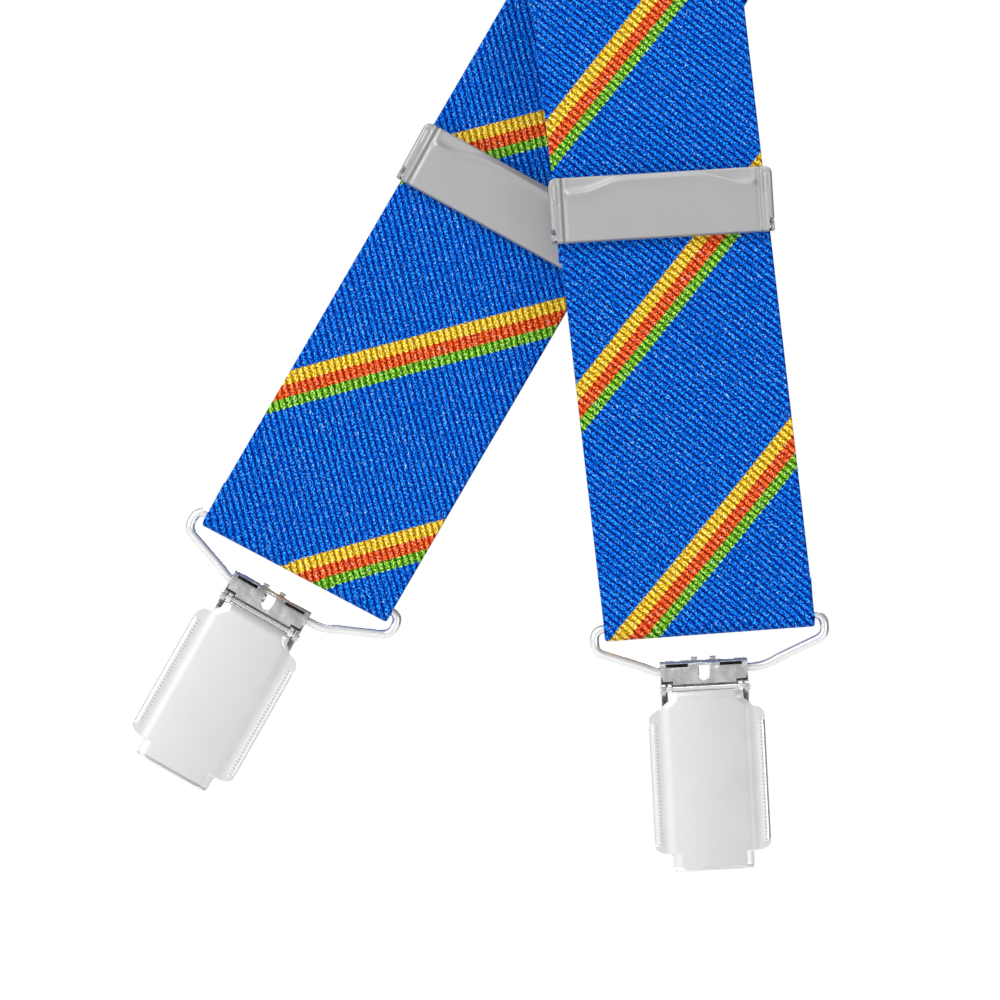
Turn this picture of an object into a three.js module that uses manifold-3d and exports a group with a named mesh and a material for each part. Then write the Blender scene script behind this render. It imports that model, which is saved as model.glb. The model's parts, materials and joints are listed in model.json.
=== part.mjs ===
// Gentlemen's Y-back suspenders: woven straps, two slide adjusters and three lever clips.
//
// Millimetres, +Z up. The straps hang over a horizontal rail that runs along X. The origin is the
// middle of that rail, the wearer's front faces -Y, and the back half hangs at +Y. Left and right
// are as seen from the front.
import * as THREE from "three";
import { mergeVertices } from "three/addons/utils/BufferGeometryUtils.js";
import Module from "manifold-3d";

const wasm = await Module();
wasm.setup();

// ---------------------------------------------------------------- driving dimensions (mm, degrees)

// Webbing.
const STRAP_WIDTH = 35;
const STRAP_THICK = 1.2;
const RAIL_RADIUS = 12;
const SHOULDER_DROP = 6; // plumb stretch below the rail's centre, front and back

// Front: each strap bends in its own plane, then runs straight through the crossing.
const CROSS_ANGLE = 18.4; // of each strap from plumb
const FRONT_BEND_RADIUS = 1200;
const FRONT_STRAIGHT = 110; // straight length above the crossing
const RIGHT_TAIL = 106.7; // from the crossing to the fold's centre
const LEFT_TAIL = 111.4;
const LEAN_START = 20; // the right strap stands out in front of the left one from here...
const LEAN_END = 380; // ...to here, below the rail
const FOLD_SKEW = 2.4; // the folds and what hangs in them are turned this far towards plumb
const SKEW_LENGTH = 45;
const LAYER_GAP = 3; // between the right adjuster's back and the left adjuster's front
const FOLD_TAIL = 6; // webbing drawn with the fold, behind the front layer

// Back: the straps meet at a leather patch, and one elastic strap goes on to the third clip.
const BACK_ANGLE = 22;
const BACK_BEND_RADIUS = 520;
const BACK_STRAP_LENGTH = 128;
const BACK_HEM = 26; // sewn length behind the back strap's fold
const PATCH_THICK = 1.5;
const PATCH_ARM = 30; // patch above the front straps' back ends
const PATCH_HIP = 9; // straight outer edge past the front straps' back ends
const PATCH_FOOT = 26; // patch below the back strap's top end
const PATCH_MARGIN = 3.5;

// Slide adjusters.
const ADJUSTER_HEIGHT = 11.2;
const ADJUSTER_RISE = 69.4; // adjuster's centre above the fold, along the strap
const RIGHT_ADJUSTER_SKEW = 3.2; // the adjusters are turned this far towards plumb
const LEFT_ADJUSTER_SKEW = 1.4;
const ADJUSTER_EAR = 0.6;
const EAR_CLEAR = 0.45; // beside the strap's edges
const EAR_MARGIN = 0.4; // ear's edge past the sewn bar and the bite bar
const PIN_EDGE = 0.3; // metal round the flap pin's hole
const FLAP_THICK = 0.8;
const FLAP_CHEEK = 2.3; // width of the raised column at each end
const CHEEK_RAISE = 0.5;
const FLAP_PIN_RADIUS = 0.45;
const FLAP_ROLL_RADIUS = 1.05;
const RIDGE_RADIUS = 0.45;
const RIDGE_RISE = 1.85;
const RIDGE_MARGIN = 0.5; // above the ridge's highest stretch
const RIDGE_FLAT = 0.15; // share of the half span where the ridge stays low, from its end
const RIDGE_CLIMB = 0.5; // share of the half span over which it climbs
const BITE_BAR_HEIGHT = 1.8;
const BITE_BAR_THICK = 1.0;
const BITE_BAR_FOOT = 0.5; // above the adjuster's lower edge
const SEWN_BAR_RADIUS = 0.6;
const SEWN_TAIL = 12; // sewn end below the sewn bar, behind

// Wire loops.
const WIRE_RADIUS = 0.75;
const LOOP_DROP = 8.0;
const LOOP_CORNER = 1.6;
const LOOP_MARGIN = 0.45; // between the fold's edge and the loop's corner
const LOOP_FOOT_REACH = 1.6; // from the sleeve's end to the loop's lower bend
const RIGHT_LOOP_SHIFT = -0.1; // each front loop's place along its fold
const LEFT_LOOP_SHIFT = -0.1;
const RIGHT_CLIP_SHIFT = -1.35; // each front clip's place along its loop's lower bar
const LEFT_CLIP_SHIFT = -1.55;
const RIGHT_CLIP_TURN = 1.2; // each front clip hangs this far askew in its loop's play
const LEFT_CLIP_TURN = 1.8;
const WIRE_ENDS_APART = 4.4;

// Lever clips.
const SLEEVE_WIDTH = 14.5;
const SHEET = 0.7;
const SLEEVE_OUTER = 1.9;
const CLIP_PIN_DROP = 3.0; // clip pin's axis below the sleeve's
const CLIP_PIN_FORWARD = 1.8; // and in front of it
const CLIP_PIN_RADIUS = 0.55;
const CLIP_EAR_RADIUS = 1.1;
const CLIP_EAR_TAPER = 1.2; // ear's root reaches this far below the ear
const BODY_LENGTH = 31;
const WINDOW_WIDTH = 2.0;
const WINDOW_HEIGHT = 2.6;
const WINDOW_RISE = 0.9; // window's top edge above the sleeve's axis
const BUMP_PLACE = 1.55;
const BUMP_RADIUS = 0.5;
const SLOT_LENGTH = 3.7;
const SLOT_HEIGHT = 0.55;
const SLOT_RISE = 0.7;
const SLOT_MARGIN = 0.9;
const LEVER_WIDTH = 19.2;
const LEVER_FRONT = 3.0; // panel's front face ahead of the wire loop's plane
const LEVER_PANEL = 14.7;
const LEVER_LENGTH = 30.1; // from the clip pin's axis to the tongue's tip
const LEVER_FLANGE_DEPTH = 3.2;
const TONGUE_WIDTH = 12.5;
const TONGUE_LENGTH = 3.6;
const NECK_LENGTH = 1.3; // from the top of the lever's plate to where it widens
const SHOULDER_LENGTH = 3.2; // from there to the plate's full width
const LIP_HEIGHT = 0.7;
const PANEL_RAISE = 0.3;
const BEAD_RADIUS = 0.45;
const PAD_LENGTH = 13;
const PAD_MARGIN = 0.6; // body's edge beyond the pad, at the sides and below
const PAD_TEETH = 5;
const TOOTH_DEPTH = 0.5;

// Clearances.
const CLEAR = 0.3; // between neighbours that don't turn in each other
const TURN_CLEAR = 0.15; // round a bar or pin that turns
const PRESS_CLEAR = 0.04; // round a pin that is held fast
const JAW_GAP = 0.8; // closed jaw

// ------------------------------------------------------------------------------- worked-out values

const rad = THREE.MathUtils.degToRad;
const HALF_WIDTH = STRAP_WIDTH / 2;
const HALF_THICK = STRAP_THICK / 2;
const SHOULDER_DEPTH = RAIL_RADIUS + HALF_THICK;
const FRONT_BEND_SHIFT = FRONT_BEND_RADIUS * (1 - Math.cos(rad(CROSS_ANGLE)));
const SHOULDER_X = FRONT_BEND_SHIFT + FRONT_STRAIGHT * Math.sin(rad(CROSS_ANGLE));
const FRONT_BEND_DROP = FRONT_BEND_RADIUS * Math.sin(rad(CROSS_ANGLE));
const CROSS_Z = -(SHOULDER_DROP + FRONT_BEND_DROP + FRONT_STRAIGHT * Math.cos(rad(CROSS_ANGLE)));

const BACK_END_X = HALF_WIDTH * Math.cos(rad(BACK_ANGLE)) + CLEAR;
const BACK_BEND_SHIFT = BACK_BEND_RADIUS * (1 - Math.cos(rad(BACK_ANGLE)));
const BACK_STRAIGHT = (SHOULDER_X - BACK_END_X - BACK_BEND_SHIFT) / Math.sin(rad(BACK_ANGLE));
const BACK_BEND_DROP = BACK_BEND_RADIUS * Math.sin(rad(BACK_ANGLE));
const BACK_END_Z = -(SHOULDER_DROP + BACK_BEND_DROP + BACK_STRAIGHT * Math.cos(rad(BACK_ANGLE)));
const BACK_STRAP_TOP = BACK_END_Z - HALF_WIDTH * Math.sin(rad(BACK_ANGLE)) + CLEAR;
const BACK_FOLD_Z = BACK_STRAP_TOP - BACK_STRAP_LENGTH;

// Depths below are from the middle of a strap's front layer, positive away from the viewer.
const BAR_DEPTH = HALF_THICK + TURN_CLEAR + WIRE_RADIUS;
const RETURN_DEPTH = 2 * BAR_DEPTH;
const FLAP_PIN_DEPTH = -(HALF_THICK + CLEAR + FLAP_ROLL_RADIUS);
const FLAP_FRONT = FLAP_PIN_DEPTH - FLAP_ROLL_RADIUS;
const CHEEK_FRONT = FLAP_FRONT - CHEEK_RAISE;
const FLAP_PIN_Z = -ADJUSTER_HEIGHT / 2 + FLAP_ROLL_RADIUS + CLEAR;
const BITE_BAR_DEPTH = HALF_THICK + CLEAR;
const SEWN_RADIUS = SEWN_BAR_RADIUS + TURN_CLEAR + HALF_THICK;
const SEWN_BAR_DEPTH = HALF_THICK + CLEAR + HALF_THICK + SEWN_RADIUS;
const SEWN_BAR_Z = ADJUSTER_HEIGHT / 2 - SEWN_BAR_RADIUS - TURN_CLEAR - STRAP_THICK;
const SEWN_DEPTH = SEWN_BAR_DEPTH + SEWN_RADIUS;
const ADJUSTER_REAR = SEWN_DEPTH + HALF_THICK;
const LAYER_OFFSET = ADJUSTER_REAR - CHEEK_FRONT + LAYER_GAP;
const EAR_INNER = HALF_WIDTH + EAR_CLEAR;
const EAR_OUTER = EAR_INNER + ADJUSTER_EAR;

const LOOP_TOP_HALF = HALF_WIDTH + TURN_CLEAR + CLEAR + WIRE_RADIUS + LOOP_MARGIN;
const SLEEVE_INNER = SLEEVE_OUTER - SHEET;
const BODY_HALF = SLEEVE_WIDTH / 2;
const CLIP_PIN_Z = -LOOP_DROP - CLIP_PIN_DROP;
const LEVER_REAR = LEVER_FRONT - SHEET;

// ------------------------------------------------------------------------------------- materials

function material(hex, roughness, metalness) {
  return new THREE.MeshStandardMaterial({ color: new THREE.Color(hex), roughness, metalness });
}

const webbing = () => material("#1259bb", 0.8, 0);
const elastic = () => material("#1450a8", 0.85, 0);
const leather = () => material("#16171a", 0.55, 0);
const nickel = () => material("#cfd0d2", 0.18, 1);
const satin = () => material("#b5b5b5", 0.42, 1);
const plastic = () => material("#e9e9e6", 0.4, 0);

// ---------------------------------------------------------------------------------- solid helpers

// A closed geometry with only its positions, welded.
function welded(geometry) {
  const bare = geometry.index ? geometry.toNonIndexed() : geometry.clone();
  bare.deleteAttribute("normal");
  bare.deleteAttribute("uv");
  return mergeVertices(bare, 1e-4);
}

function toSolid(geometry) {
  const bare = welded(geometry);
  const vertProperties = new Float32Array(bare.attributes.position.array);
  const triVerts = new Uint32Array(bare.index.array);
  return new wasm.Manifold(new wasm.Mesh({ numProp: 3, vertProperties, triVerts }));
}

function toGeometry(solid) {
  const mesh = solid.getMesh();
  const geometry = new THREE.BufferGeometry();
  geometry.setAttribute("position", new THREE.BufferAttribute(mesh.vertProperties, 3));
  geometry.setIndex(new THREE.BufferAttribute(mesh.triVerts, 1));
  return geometry;
}

const joined = (...parts) => toGeometry(parts.map(toSolid).reduce((a, b) => a.add(b)));
const cut = (part, ...tools) => toGeometry(
  tools.map(toSolid).reduce((a, b) => a.subtract(b), toSolid(part)),
);

// A block given by its lowest and highest corners.
function block(x0, x1, y0, y1, z0, z1) {
  const geometry = new THREE.BoxGeometry(x1 - x0, y1 - y0, z1 - z0);
  return geometry.translate((x0 + x1) / 2, (y0 + y1) / 2, (z0 + z1) / 2);
}

// A round bar along X.
function rod(radius, x0, x1, y, z, sides) {
  const geometry = new THREE.CylinderGeometry(radius, radius, x1 - x0, sides);
  return geometry.rotateZ(Math.PI / 2).translate((x0 + x1) / 2, y, z);
}

// A (y, z) section drawn out along X.
function drawnAcross(shape, x0, x1, curveSegments = 4) {
  const geometry = new THREE.ExtrudeGeometry(shape, {
    depth: x1 - x0, bevelEnabled: false, curveSegments,
  });
  const turn = new THREE.Matrix4().makeBasis(
    new THREE.Vector3(0, 1, 0), new THREE.Vector3(0, 0, 1), new THREE.Vector3(1, 0, 0),
  );
  return geometry.applyMatrix4(turn).translate(x0, 0, 0);
}

// An (x, z) outline drawn out from depth y0 back to depth y1.
function drawnBack(shape, y0, y1, curveSegments = 4) {
  const geometry = new THREE.ExtrudeGeometry(shape, {
    depth: y1 - y0, bevelEnabled: false, curveSegments,
  });
  return geometry.rotateX(Math.PI / 2).translate(0, y1, 0);
}

function outline(points) {
  return new THREE.Shape(points.map(([a, b]) => new THREE.Vector2(a, b)));
}

// The frame at each point of a path: its tangent, and two directions square to it. The first of
// these is as near as it can be to the hint.
function framesAlong(points, hint) {
  return points.map((point, i) => {
    const before = points[Math.max(i - 1, 0)];
    const after = points[Math.min(i + 1, points.length - 1)];
    const tangent = after.clone().sub(before).normalize();
    const across = hint.clone().addScaledVector(tangent, -hint.dot(tangent)).normalize();
    const out = new THREE.Vector3().crossVectors(across, tangent);
    return { point, tangent, across, out };
  });
}

// Bends a bar that stands along +Y from 0 to 1 so that it follows the frames. A frame's shear
// moves its points along the path, in proportion to how far across they are.
function bentAlong(bar, frames) {
  const last = frames.length - 1;
  const positions = bar.attributes.position;
  const moved = new THREE.Vector3();
  for (let i = 0; i < positions.count; i += 1) {
    const u = positions.getX(i);
    const frame = frames[Math.round(positions.getY(i) * last)];
    moved.copy(frame.point);
    moved.addScaledVector(frame.across, u);
    moved.addScaledVector(frame.tangent, u * (frame.shear ?? 0));
    moved.addScaledVector(frame.out, positions.getZ(i));
    positions.setXYZ(i, moved.x, moved.y, moved.z);
  }
  return bar;
}

// Flat webbing along a path.
function webbingAlong(frames, width = STRAP_WIDTH) {
  const bar = new THREE.BoxGeometry(width, 1, STRAP_THICK, 1, frames.length - 1, 1);
  return bentAlong(bar.translate(0, 0.5, 0), frames);
}

// Round wire along a path that lies in the XZ plane.
function wireAlong(points, radius, sides) {
  const bar = new THREE.CylinderGeometry(radius, radius, 1, sides, points.length - 1);
  return bentAlong(bar.translate(0, 0.5, 0), framesAlong(points, new THREE.Vector3(0, 1, 0)));
}

function spread(count, place) {
  return Array.from({ length: count + 1 }, (_, i) => place(i / count));
}

// ------------------------------------------------------------------------------------- the straps

const smooth = (t) => THREE.MathUtils.smoothstep(t, 0, 1);

// How far a strap's front layer stands out in front of the rail's own depth at a height.
function leanAt(z, side) {
  return side > 0 ? LAYER_OFFSET * smooth((-z - LEAN_START) / (LEAN_END - LEAN_START)) : 0;
}

// side is 1 for the strap that ends at the right clip, and -1 for the other one.
function tailOf(side) {
  return side > 0 ? RIGHT_TAIL : LEFT_TAIL;
}

function adjusterSkew(side) {
  return rad(side > 0 ? RIGHT_ADJUSTER_SKEW : LEFT_ADJUSTER_SKEW);
}

// Where the middle of the fold's bar comes to, on the strap's middle plane.
function foldPlace(side) {
  const reach = tailOf(side);
  const x = side * reach * Math.sin(rad(CROSS_ANGLE));
  const z = CROSS_Z - reach * Math.cos(rad(CROSS_ANGLE));
  return new THREE.Vector3(x, -SHOULDER_DEPTH - leanAt(z, side), z);
}

// A fold round a bar: from the front layer, down round the bar and up behind it. The bar's axis is
// turned by the skew, which the webbing takes up as shear.
function foldFrames(place, down, across, tail) {
  const back = new THREE.Vector3(0, 1, 0);
  const turned = spread(8, (t) => {
    const angle = Math.PI * t;
    const point = place.clone().addScaledVector(down, BAR_DEPTH * Math.sin(angle));
    point.addScaledVector(back, BAR_DEPTH * (1 - Math.cos(angle)));
    const tangent = down.clone().multiplyScalar(Math.cos(angle));
    tangent.addScaledVector(back, Math.sin(angle));
    return { point, tangent, across, out: new THREE.Vector3().crossVectors(across, tangent) };
  });
  const up = down.clone().negate();
  const end = turned[turned.length - 1].point.clone().addScaledVector(up, tail);
  turned.push({ ...turned[turned.length - 1], point: end });
  return turned;
}

const at = (x, y, z) => new THREE.Vector3(x, y, z);
const ALONG_X = at(1, 0, 0);
const SHOULDER_FOOT = -SHOULDER_DROP / 2; // where the stretch over the rail meets its neighbours

// A strap's back: from the patch up to just below the rail.
function strapBack(side) {
  const start = -side * SHOULDER_X;
  const points = [at(-side * BACK_END_X, SHOULDER_DEPTH, BACK_END_Z)];
  points.push(...spread(10, (t) => {
    const angle = rad(BACK_ANGLE) * (1 - t);
    const x = start + side * BACK_BEND_RADIUS * (1 - Math.cos(angle));
    return at(x, SHOULDER_DEPTH, -SHOULDER_DROP - BACK_BEND_RADIUS * Math.sin(angle));
  }));
  points.push(at(start, SHOULDER_DEPTH, SHOULDER_FOOT));
  return webbingAlong(framesAlong(points, ALONG_X));
}

// The stretch of a strap that lies over the rail.
function strapShoulder(side) {
  const start = -side * SHOULDER_X;
  const foot = SHOULDER_FOOT + CLEAR;
  const points = [at(start, SHOULDER_DEPTH, foot)];
  points.push(...spread(12, (t) => {
    const angle = Math.PI * t;
    return at(start, SHOULDER_DEPTH * Math.cos(angle), SHOULDER_DEPTH * Math.sin(angle));
  }));
  points.push(at(start, -SHOULDER_DEPTH, foot));
  return webbingAlong(framesAlong(points, ALONG_X));
}

// A strap's front: from just below the rail down to the fold and round it.
function strapFront(side) {
  const start = -side * SHOULDER_X;
  const points = [];
  const front = [at(start, 0, SHOULDER_FOOT)];
  front.push(...spread(22, (t) => {
    const angle = rad(CROSS_ANGLE) * t;
    const x = start + side * FRONT_BEND_RADIUS * (1 - Math.cos(angle));
    return at(x, 0, -SHOULDER_DROP - FRONT_BEND_RADIUS * Math.sin(angle));
  }));
  front.push(at(0, 0, CROSS_Z));
  for (const point of front) {
    points.push(at(point.x, -SHOULDER_DEPTH - leanAt(point.z, side), point.z));
  }
  const place = foldPlace(side);
  const along = at(side * Math.sin(rad(CROSS_ANGLE)), 0, -Math.cos(rad(CROSS_ANGLE)));
  points.push(place.clone().addScaledVector(along, -SKEW_LENGTH));
  points.push(place);
  const frames = framesAlong(points, ALONG_X);
  frames[frames.length - 1].shear = side * Math.tan(rad(FOLD_SKEW));
  const foldAngle = rad(CROSS_ANGLE - FOLD_SKEW);
  const down = at(side * Math.sin(foldAngle), 0, -Math.cos(foldAngle));
  const across = at(-down.z, 0, down.x).multiplyScalar(1 / Math.cos(rad(FOLD_SKEW)));
  frames.push(...foldFrames(place, down, across, FOLD_TAIL).slice(1));
  return webbingAlong(frames);
}

// The rest of the strap's end: from just above the fold, up behind the front layer to the piece
// that is sewn round the adjuster's bar. Drawn in the strap's own frame, whose origin is the fold.
function returnLayer(side) {
  const top = ADJUSTER_RISE + SEWN_BAR_Z - SEWN_TAIL - CLEAR;
  const bottom = FOLD_TAIL + CLEAR + HALF_WIDTH * Math.tan(rad(FOLD_SKEW));
  const points = spread(4, (t) => new THREE.Vector3(
    0,
    THREE.MathUtils.lerp(RETURN_DEPTH, SEWN_DEPTH, t),
    THREE.MathUtils.lerp(bottom, top, t),
  ));
  const frames = framesAlong(points, ALONG_X);
  frames[0].shear = -side * Math.tan(rad(FOLD_SKEW));
  frames[frames.length - 1].shear = -side * Math.tan(adjusterSkew(side));
  return webbingAlong(frames);
}

// The strap's last stretch, sewn round the adjuster's bar. Drawn in the adjuster's frame.
function sewnEnd() {
  const frontDepth = SEWN_BAR_DEPTH - SEWN_RADIUS;
  const frontEnd = -ADJUSTER_HEIGHT / 2 + BITE_BAR_FOOT + BITE_BAR_HEIGHT + 2 * CLEAR;
  const points = [new THREE.Vector3(0, frontDepth, frontEnd)];
  points.push(...spread(8, (t) => {
    const angle = Math.PI * t;
    return new THREE.Vector3(
      0,
      SEWN_BAR_DEPTH - SEWN_RADIUS * Math.cos(angle),
      SEWN_BAR_Z + SEWN_RADIUS * Math.sin(angle),
    );
  }));
  points.push(new THREE.Vector3(0, SEWN_DEPTH, SEWN_BAR_Z - SEWN_TAIL));
  return webbingAlong(framesAlong(points, ALONG_X));
}

// The elastic back strap, with its hem turned round the third wire loop's bar.
function backStrap() {
  const inward = new THREE.Vector3(0, -1, 0);
  const top = new THREE.Vector3(0, SHOULDER_DEPTH, BACK_STRAP_TOP);
  const fold = new THREE.Vector3(0, SHOULDER_DEPTH, BACK_FOLD_Z);
  const points = [top, fold.clone().lerp(top, 0.5)];
  points.push(...spread(8, (t) => {
    const angle = Math.PI * t;
    const point = fold.clone().addScaledVector(inward, BAR_DEPTH * (1 - Math.cos(angle)));
    point.z -= BAR_DEPTH * Math.sin(angle);
    return point;
  }));
  points.push(fold.clone().addScaledVector(inward, RETURN_DEPTH).setZ(BACK_FOLD_Z + BACK_HEM));
  return webbingAlong(framesAlong(points, ALONG_X));
}

// ------------------------------------------------------------------------------- the leather patch

// One arm for each front strap and a foot for the back strap, with rounded corners.
function patchOutline() {
  const half = HALF_WIDTH + PATCH_MARGIN;
  const lean = new THREE.Vector2(Math.sin(rad(BACK_ANGLE)), -Math.cos(rad(BACK_ANGLE)));
  const across = new THREE.Vector2(-lean.y, lean.x);
  const armEnd = new THREE.Vector2(-BACK_END_X, BACK_END_Z).addScaledVector(lean, -PATCH_ARM);
  const outer = armEnd.clone().addScaledVector(across, -half);
  const inner = armEnd.clone().addScaledVector(across, half);
  const foot = BACK_STRAP_TOP - PATCH_FOOT;
  const hip = outer.clone().addScaledVector(lean, PATCH_ARM + PATCH_HIP);
  const crotch = inner.clone().addScaledVector(lean, -inner.x / lean.x);
  const left = [inner, outer, hip, new THREE.Vector2(-half, foot)];
  const right = left.map((p) => new THREE.Vector2(-p.x, p.y)).reverse();
  return roundedOutline([crotch, ...left, ...right], [3, 4, 4, 6, 5, 5, 6, 4, 4]);
}

// An outline that mirrors itself in x = 0, from its right half: [x, z, reach of the corner's curve].
function mirroredOutline(right) {
  const left = right.map(([x, z, reach]) => [-x, z, reach]).reverse();
  const corners = [...right, ...left];
  return roundedOutline(corners.map(([x, z]) => new THREE.Vector2(x, z)), corners.map((c) => c[2]));
}

// A polygon whose corners are rounded by quadratic curves that start this far from each corner.
function roundedOutline(corners, reaches) {
  const shape = new THREE.Shape();
  corners.forEach((corner, i) => {
    const before = corners[(i + corners.length - 1) % corners.length];
    const after = corners[(i + 1) % corners.length];
    const from = before.clone().sub(corner).setLength(reaches[i]).add(corner);
    const to = after.clone().sub(corner).setLength(reaches[i]).add(corner);
    if (i === 0) {
      shape.moveTo(from.x, from.y);
    } else {
      shape.lineTo(from.x, from.y);
    }
    shape.quadraticCurveTo(corner.x, corner.y, to.x, to.y);
  });
  shape.closePath();
  return shape;
}

// ------------------------------------------------------------------------------ the slide adjuster

// Front flap: a plate that hinges on the roll along its lower edge, with a waved finger ridge near
// its top edge and a raised column at each end.
function adjusterFlap() {
  const top = ADJUSTER_HEIGHT / 2;
  const plate = block(
    -HALF_WIDTH, HALF_WIDTH, FLAP_FRONT, FLAP_FRONT + FLAP_THICK, FLAP_PIN_Z, top,
  );
  const roll = rod(FLAP_ROLL_RADIUS, -HALF_WIDTH, HALF_WIDTH, FLAP_PIN_DEPTH, FLAP_PIN_Z, 16);
  const bore = rod(
    FLAP_PIN_RADIUS + TURN_CLEAR, -STRAP_WIDTH, STRAP_WIDTH, FLAP_PIN_DEPTH, FLAP_PIN_Z, 12,
  );
  const inner = EAR_OUTER - FLAP_CHEEK;
  const low = FLAP_PIN_Z + FLAP_ROLL_RADIUS + CLEAR;
  const cheek = (side) => {
    const shape = roundedOutline(
      [[inner, low], [inner, top], [EAR_OUTER, top], [EAR_OUTER, low]]
        .map(([x, z]) => new THREE.Vector2(side * x, z)),
      [0.3, 0.5, 1.6, 0.6],
    );
    return drawnBack(shape, CHEEK_FRONT, FLAP_FRONT + CLEAR / 2, 3);
  };
  const span = inner - CLEAR;
  const ridge = wireAlong(spread(18, (t) => {
    const x = THREE.MathUtils.lerp(-span, span, t);
    const rise = smooth((1 - Math.abs(x) / span - RIDGE_FLAT) / RIDGE_CLIMB);
    const z = top - RIDGE_RADIUS - RIDGE_MARGIN - RIDGE_RISE * (1 - rise);
    return new THREE.Vector3(x, FLAP_FRONT, z);
  }), RIDGE_RADIUS, 8);
  return cut(joined(plate, roll, cheek(1), cheek(-1), ridge), bore);
}

// Rear frame: two ears that carry the flap's pin, the bar that bites the strap from behind and the
// round bar that the strap's end is sewn to.
function adjusterFrame() {
  const pinEdge = FLAP_PIN_RADIUS + PIN_EDGE;
  const bite = BITE_BAR_DEPTH + BITE_BAR_THICK;
  const foot = -ADJUSTER_HEIGHT / 2 + BITE_BAR_FOOT;
  const barEdge = SEWN_BAR_RADIUS + EAR_MARGIN;
  const rear = SEWN_BAR_DEPTH + barEdge;
  const ear = outline([
    [FLAP_PIN_DEPTH, FLAP_PIN_Z - pinEdge],
    [FLAP_PIN_DEPTH - pinEdge * 0.7, FLAP_PIN_Z - pinEdge * 0.7],
    [FLAP_PIN_DEPTH - pinEdge, FLAP_PIN_Z],
    [FLAP_PIN_DEPTH - pinEdge * 0.7, FLAP_PIN_Z + pinEdge * 0.7],
    [FLAP_PIN_DEPTH, FLAP_PIN_Z + pinEdge],
    [BITE_BAR_DEPTH, foot + BITE_BAR_HEIGHT + EAR_MARGIN],
    [BITE_BAR_DEPTH + EAR_MARGIN, SEWN_BAR_Z + barEdge],
    [rear, SEWN_BAR_Z + barEdge],
    [rear, SEWN_BAR_Z - barEdge],
    [bite, foot],
  ]);
  const ears = [
    drawnAcross(ear, EAR_INNER, EAR_OUTER),
    drawnAcross(ear, -EAR_OUTER, -EAR_INNER),
  ];
  const overlap = ADJUSTER_EAR / 2;
  const reach = EAR_INNER + overlap;
  const biteBar = block(-reach, reach, BITE_BAR_DEPTH, bite, foot, foot + BITE_BAR_HEIGHT);
  const sewnBar = rod(SEWN_BAR_RADIUS, -reach, reach, SEWN_BAR_DEPTH, SEWN_BAR_Z, 12);
  const hole = rod(
    FLAP_PIN_RADIUS + TURN_CLEAR, -STRAP_WIDTH, STRAP_WIDTH, FLAP_PIN_DEPTH, FLAP_PIN_Z, 12,
  );
  return cut(joined(...ears, biteBar, sewnBar), hole);
}

function flapPin() {
  return rod(FLAP_PIN_RADIUS, -EAR_OUTER, EAR_OUTER, FLAP_PIN_DEPTH, FLAP_PIN_Z, 12);
}

// ------------------------------------------------------------------------------------ the clips
// Drawn with the origin on the axis of the wire loop's top bar, which the strap is folded round.

// One bent wire: a top bar wider than the strap, tapering sides, and two ends that meet in the
// clip's sleeve.
function wireLoop() {
  const shoulder = -BAR_DEPTH - HALF_THICK - WIRE_RADIUS - CLEAR;
  const footHalf = BODY_HALF + LOOP_FOOT_REACH;
  const right = [
    [LOOP_TOP_HALF - LOOP_CORNER, 0],
    [LOOP_TOP_HALF - LOOP_CORNER * 0.29, -LOOP_CORNER * 0.29],
    [LOOP_TOP_HALF, -LOOP_CORNER],
    [LOOP_TOP_HALF, shoulder + 0.6],
    [LOOP_TOP_HALF - 0.5, shoulder - 0.2],
    [LOOP_TOP_HALF - 1.5, shoulder - 0.8],
    [footHalf + 1.2, -LOOP_DROP + 0.7],
    [footHalf, -LOOP_DROP + 0.25],
    [footHalf - 1.2, -LOOP_DROP],
    [WIRE_ENDS_APART / 2, -LOOP_DROP],
  ];
  const left = right.map(([x, z]) => [-x, z]).reverse();
  const points = [...left, ...right].map(([x, z]) => new THREE.Vector3(x, 0, z));
  return wireAlong(points, WIRE_RADIUS, 10);
}

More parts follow.
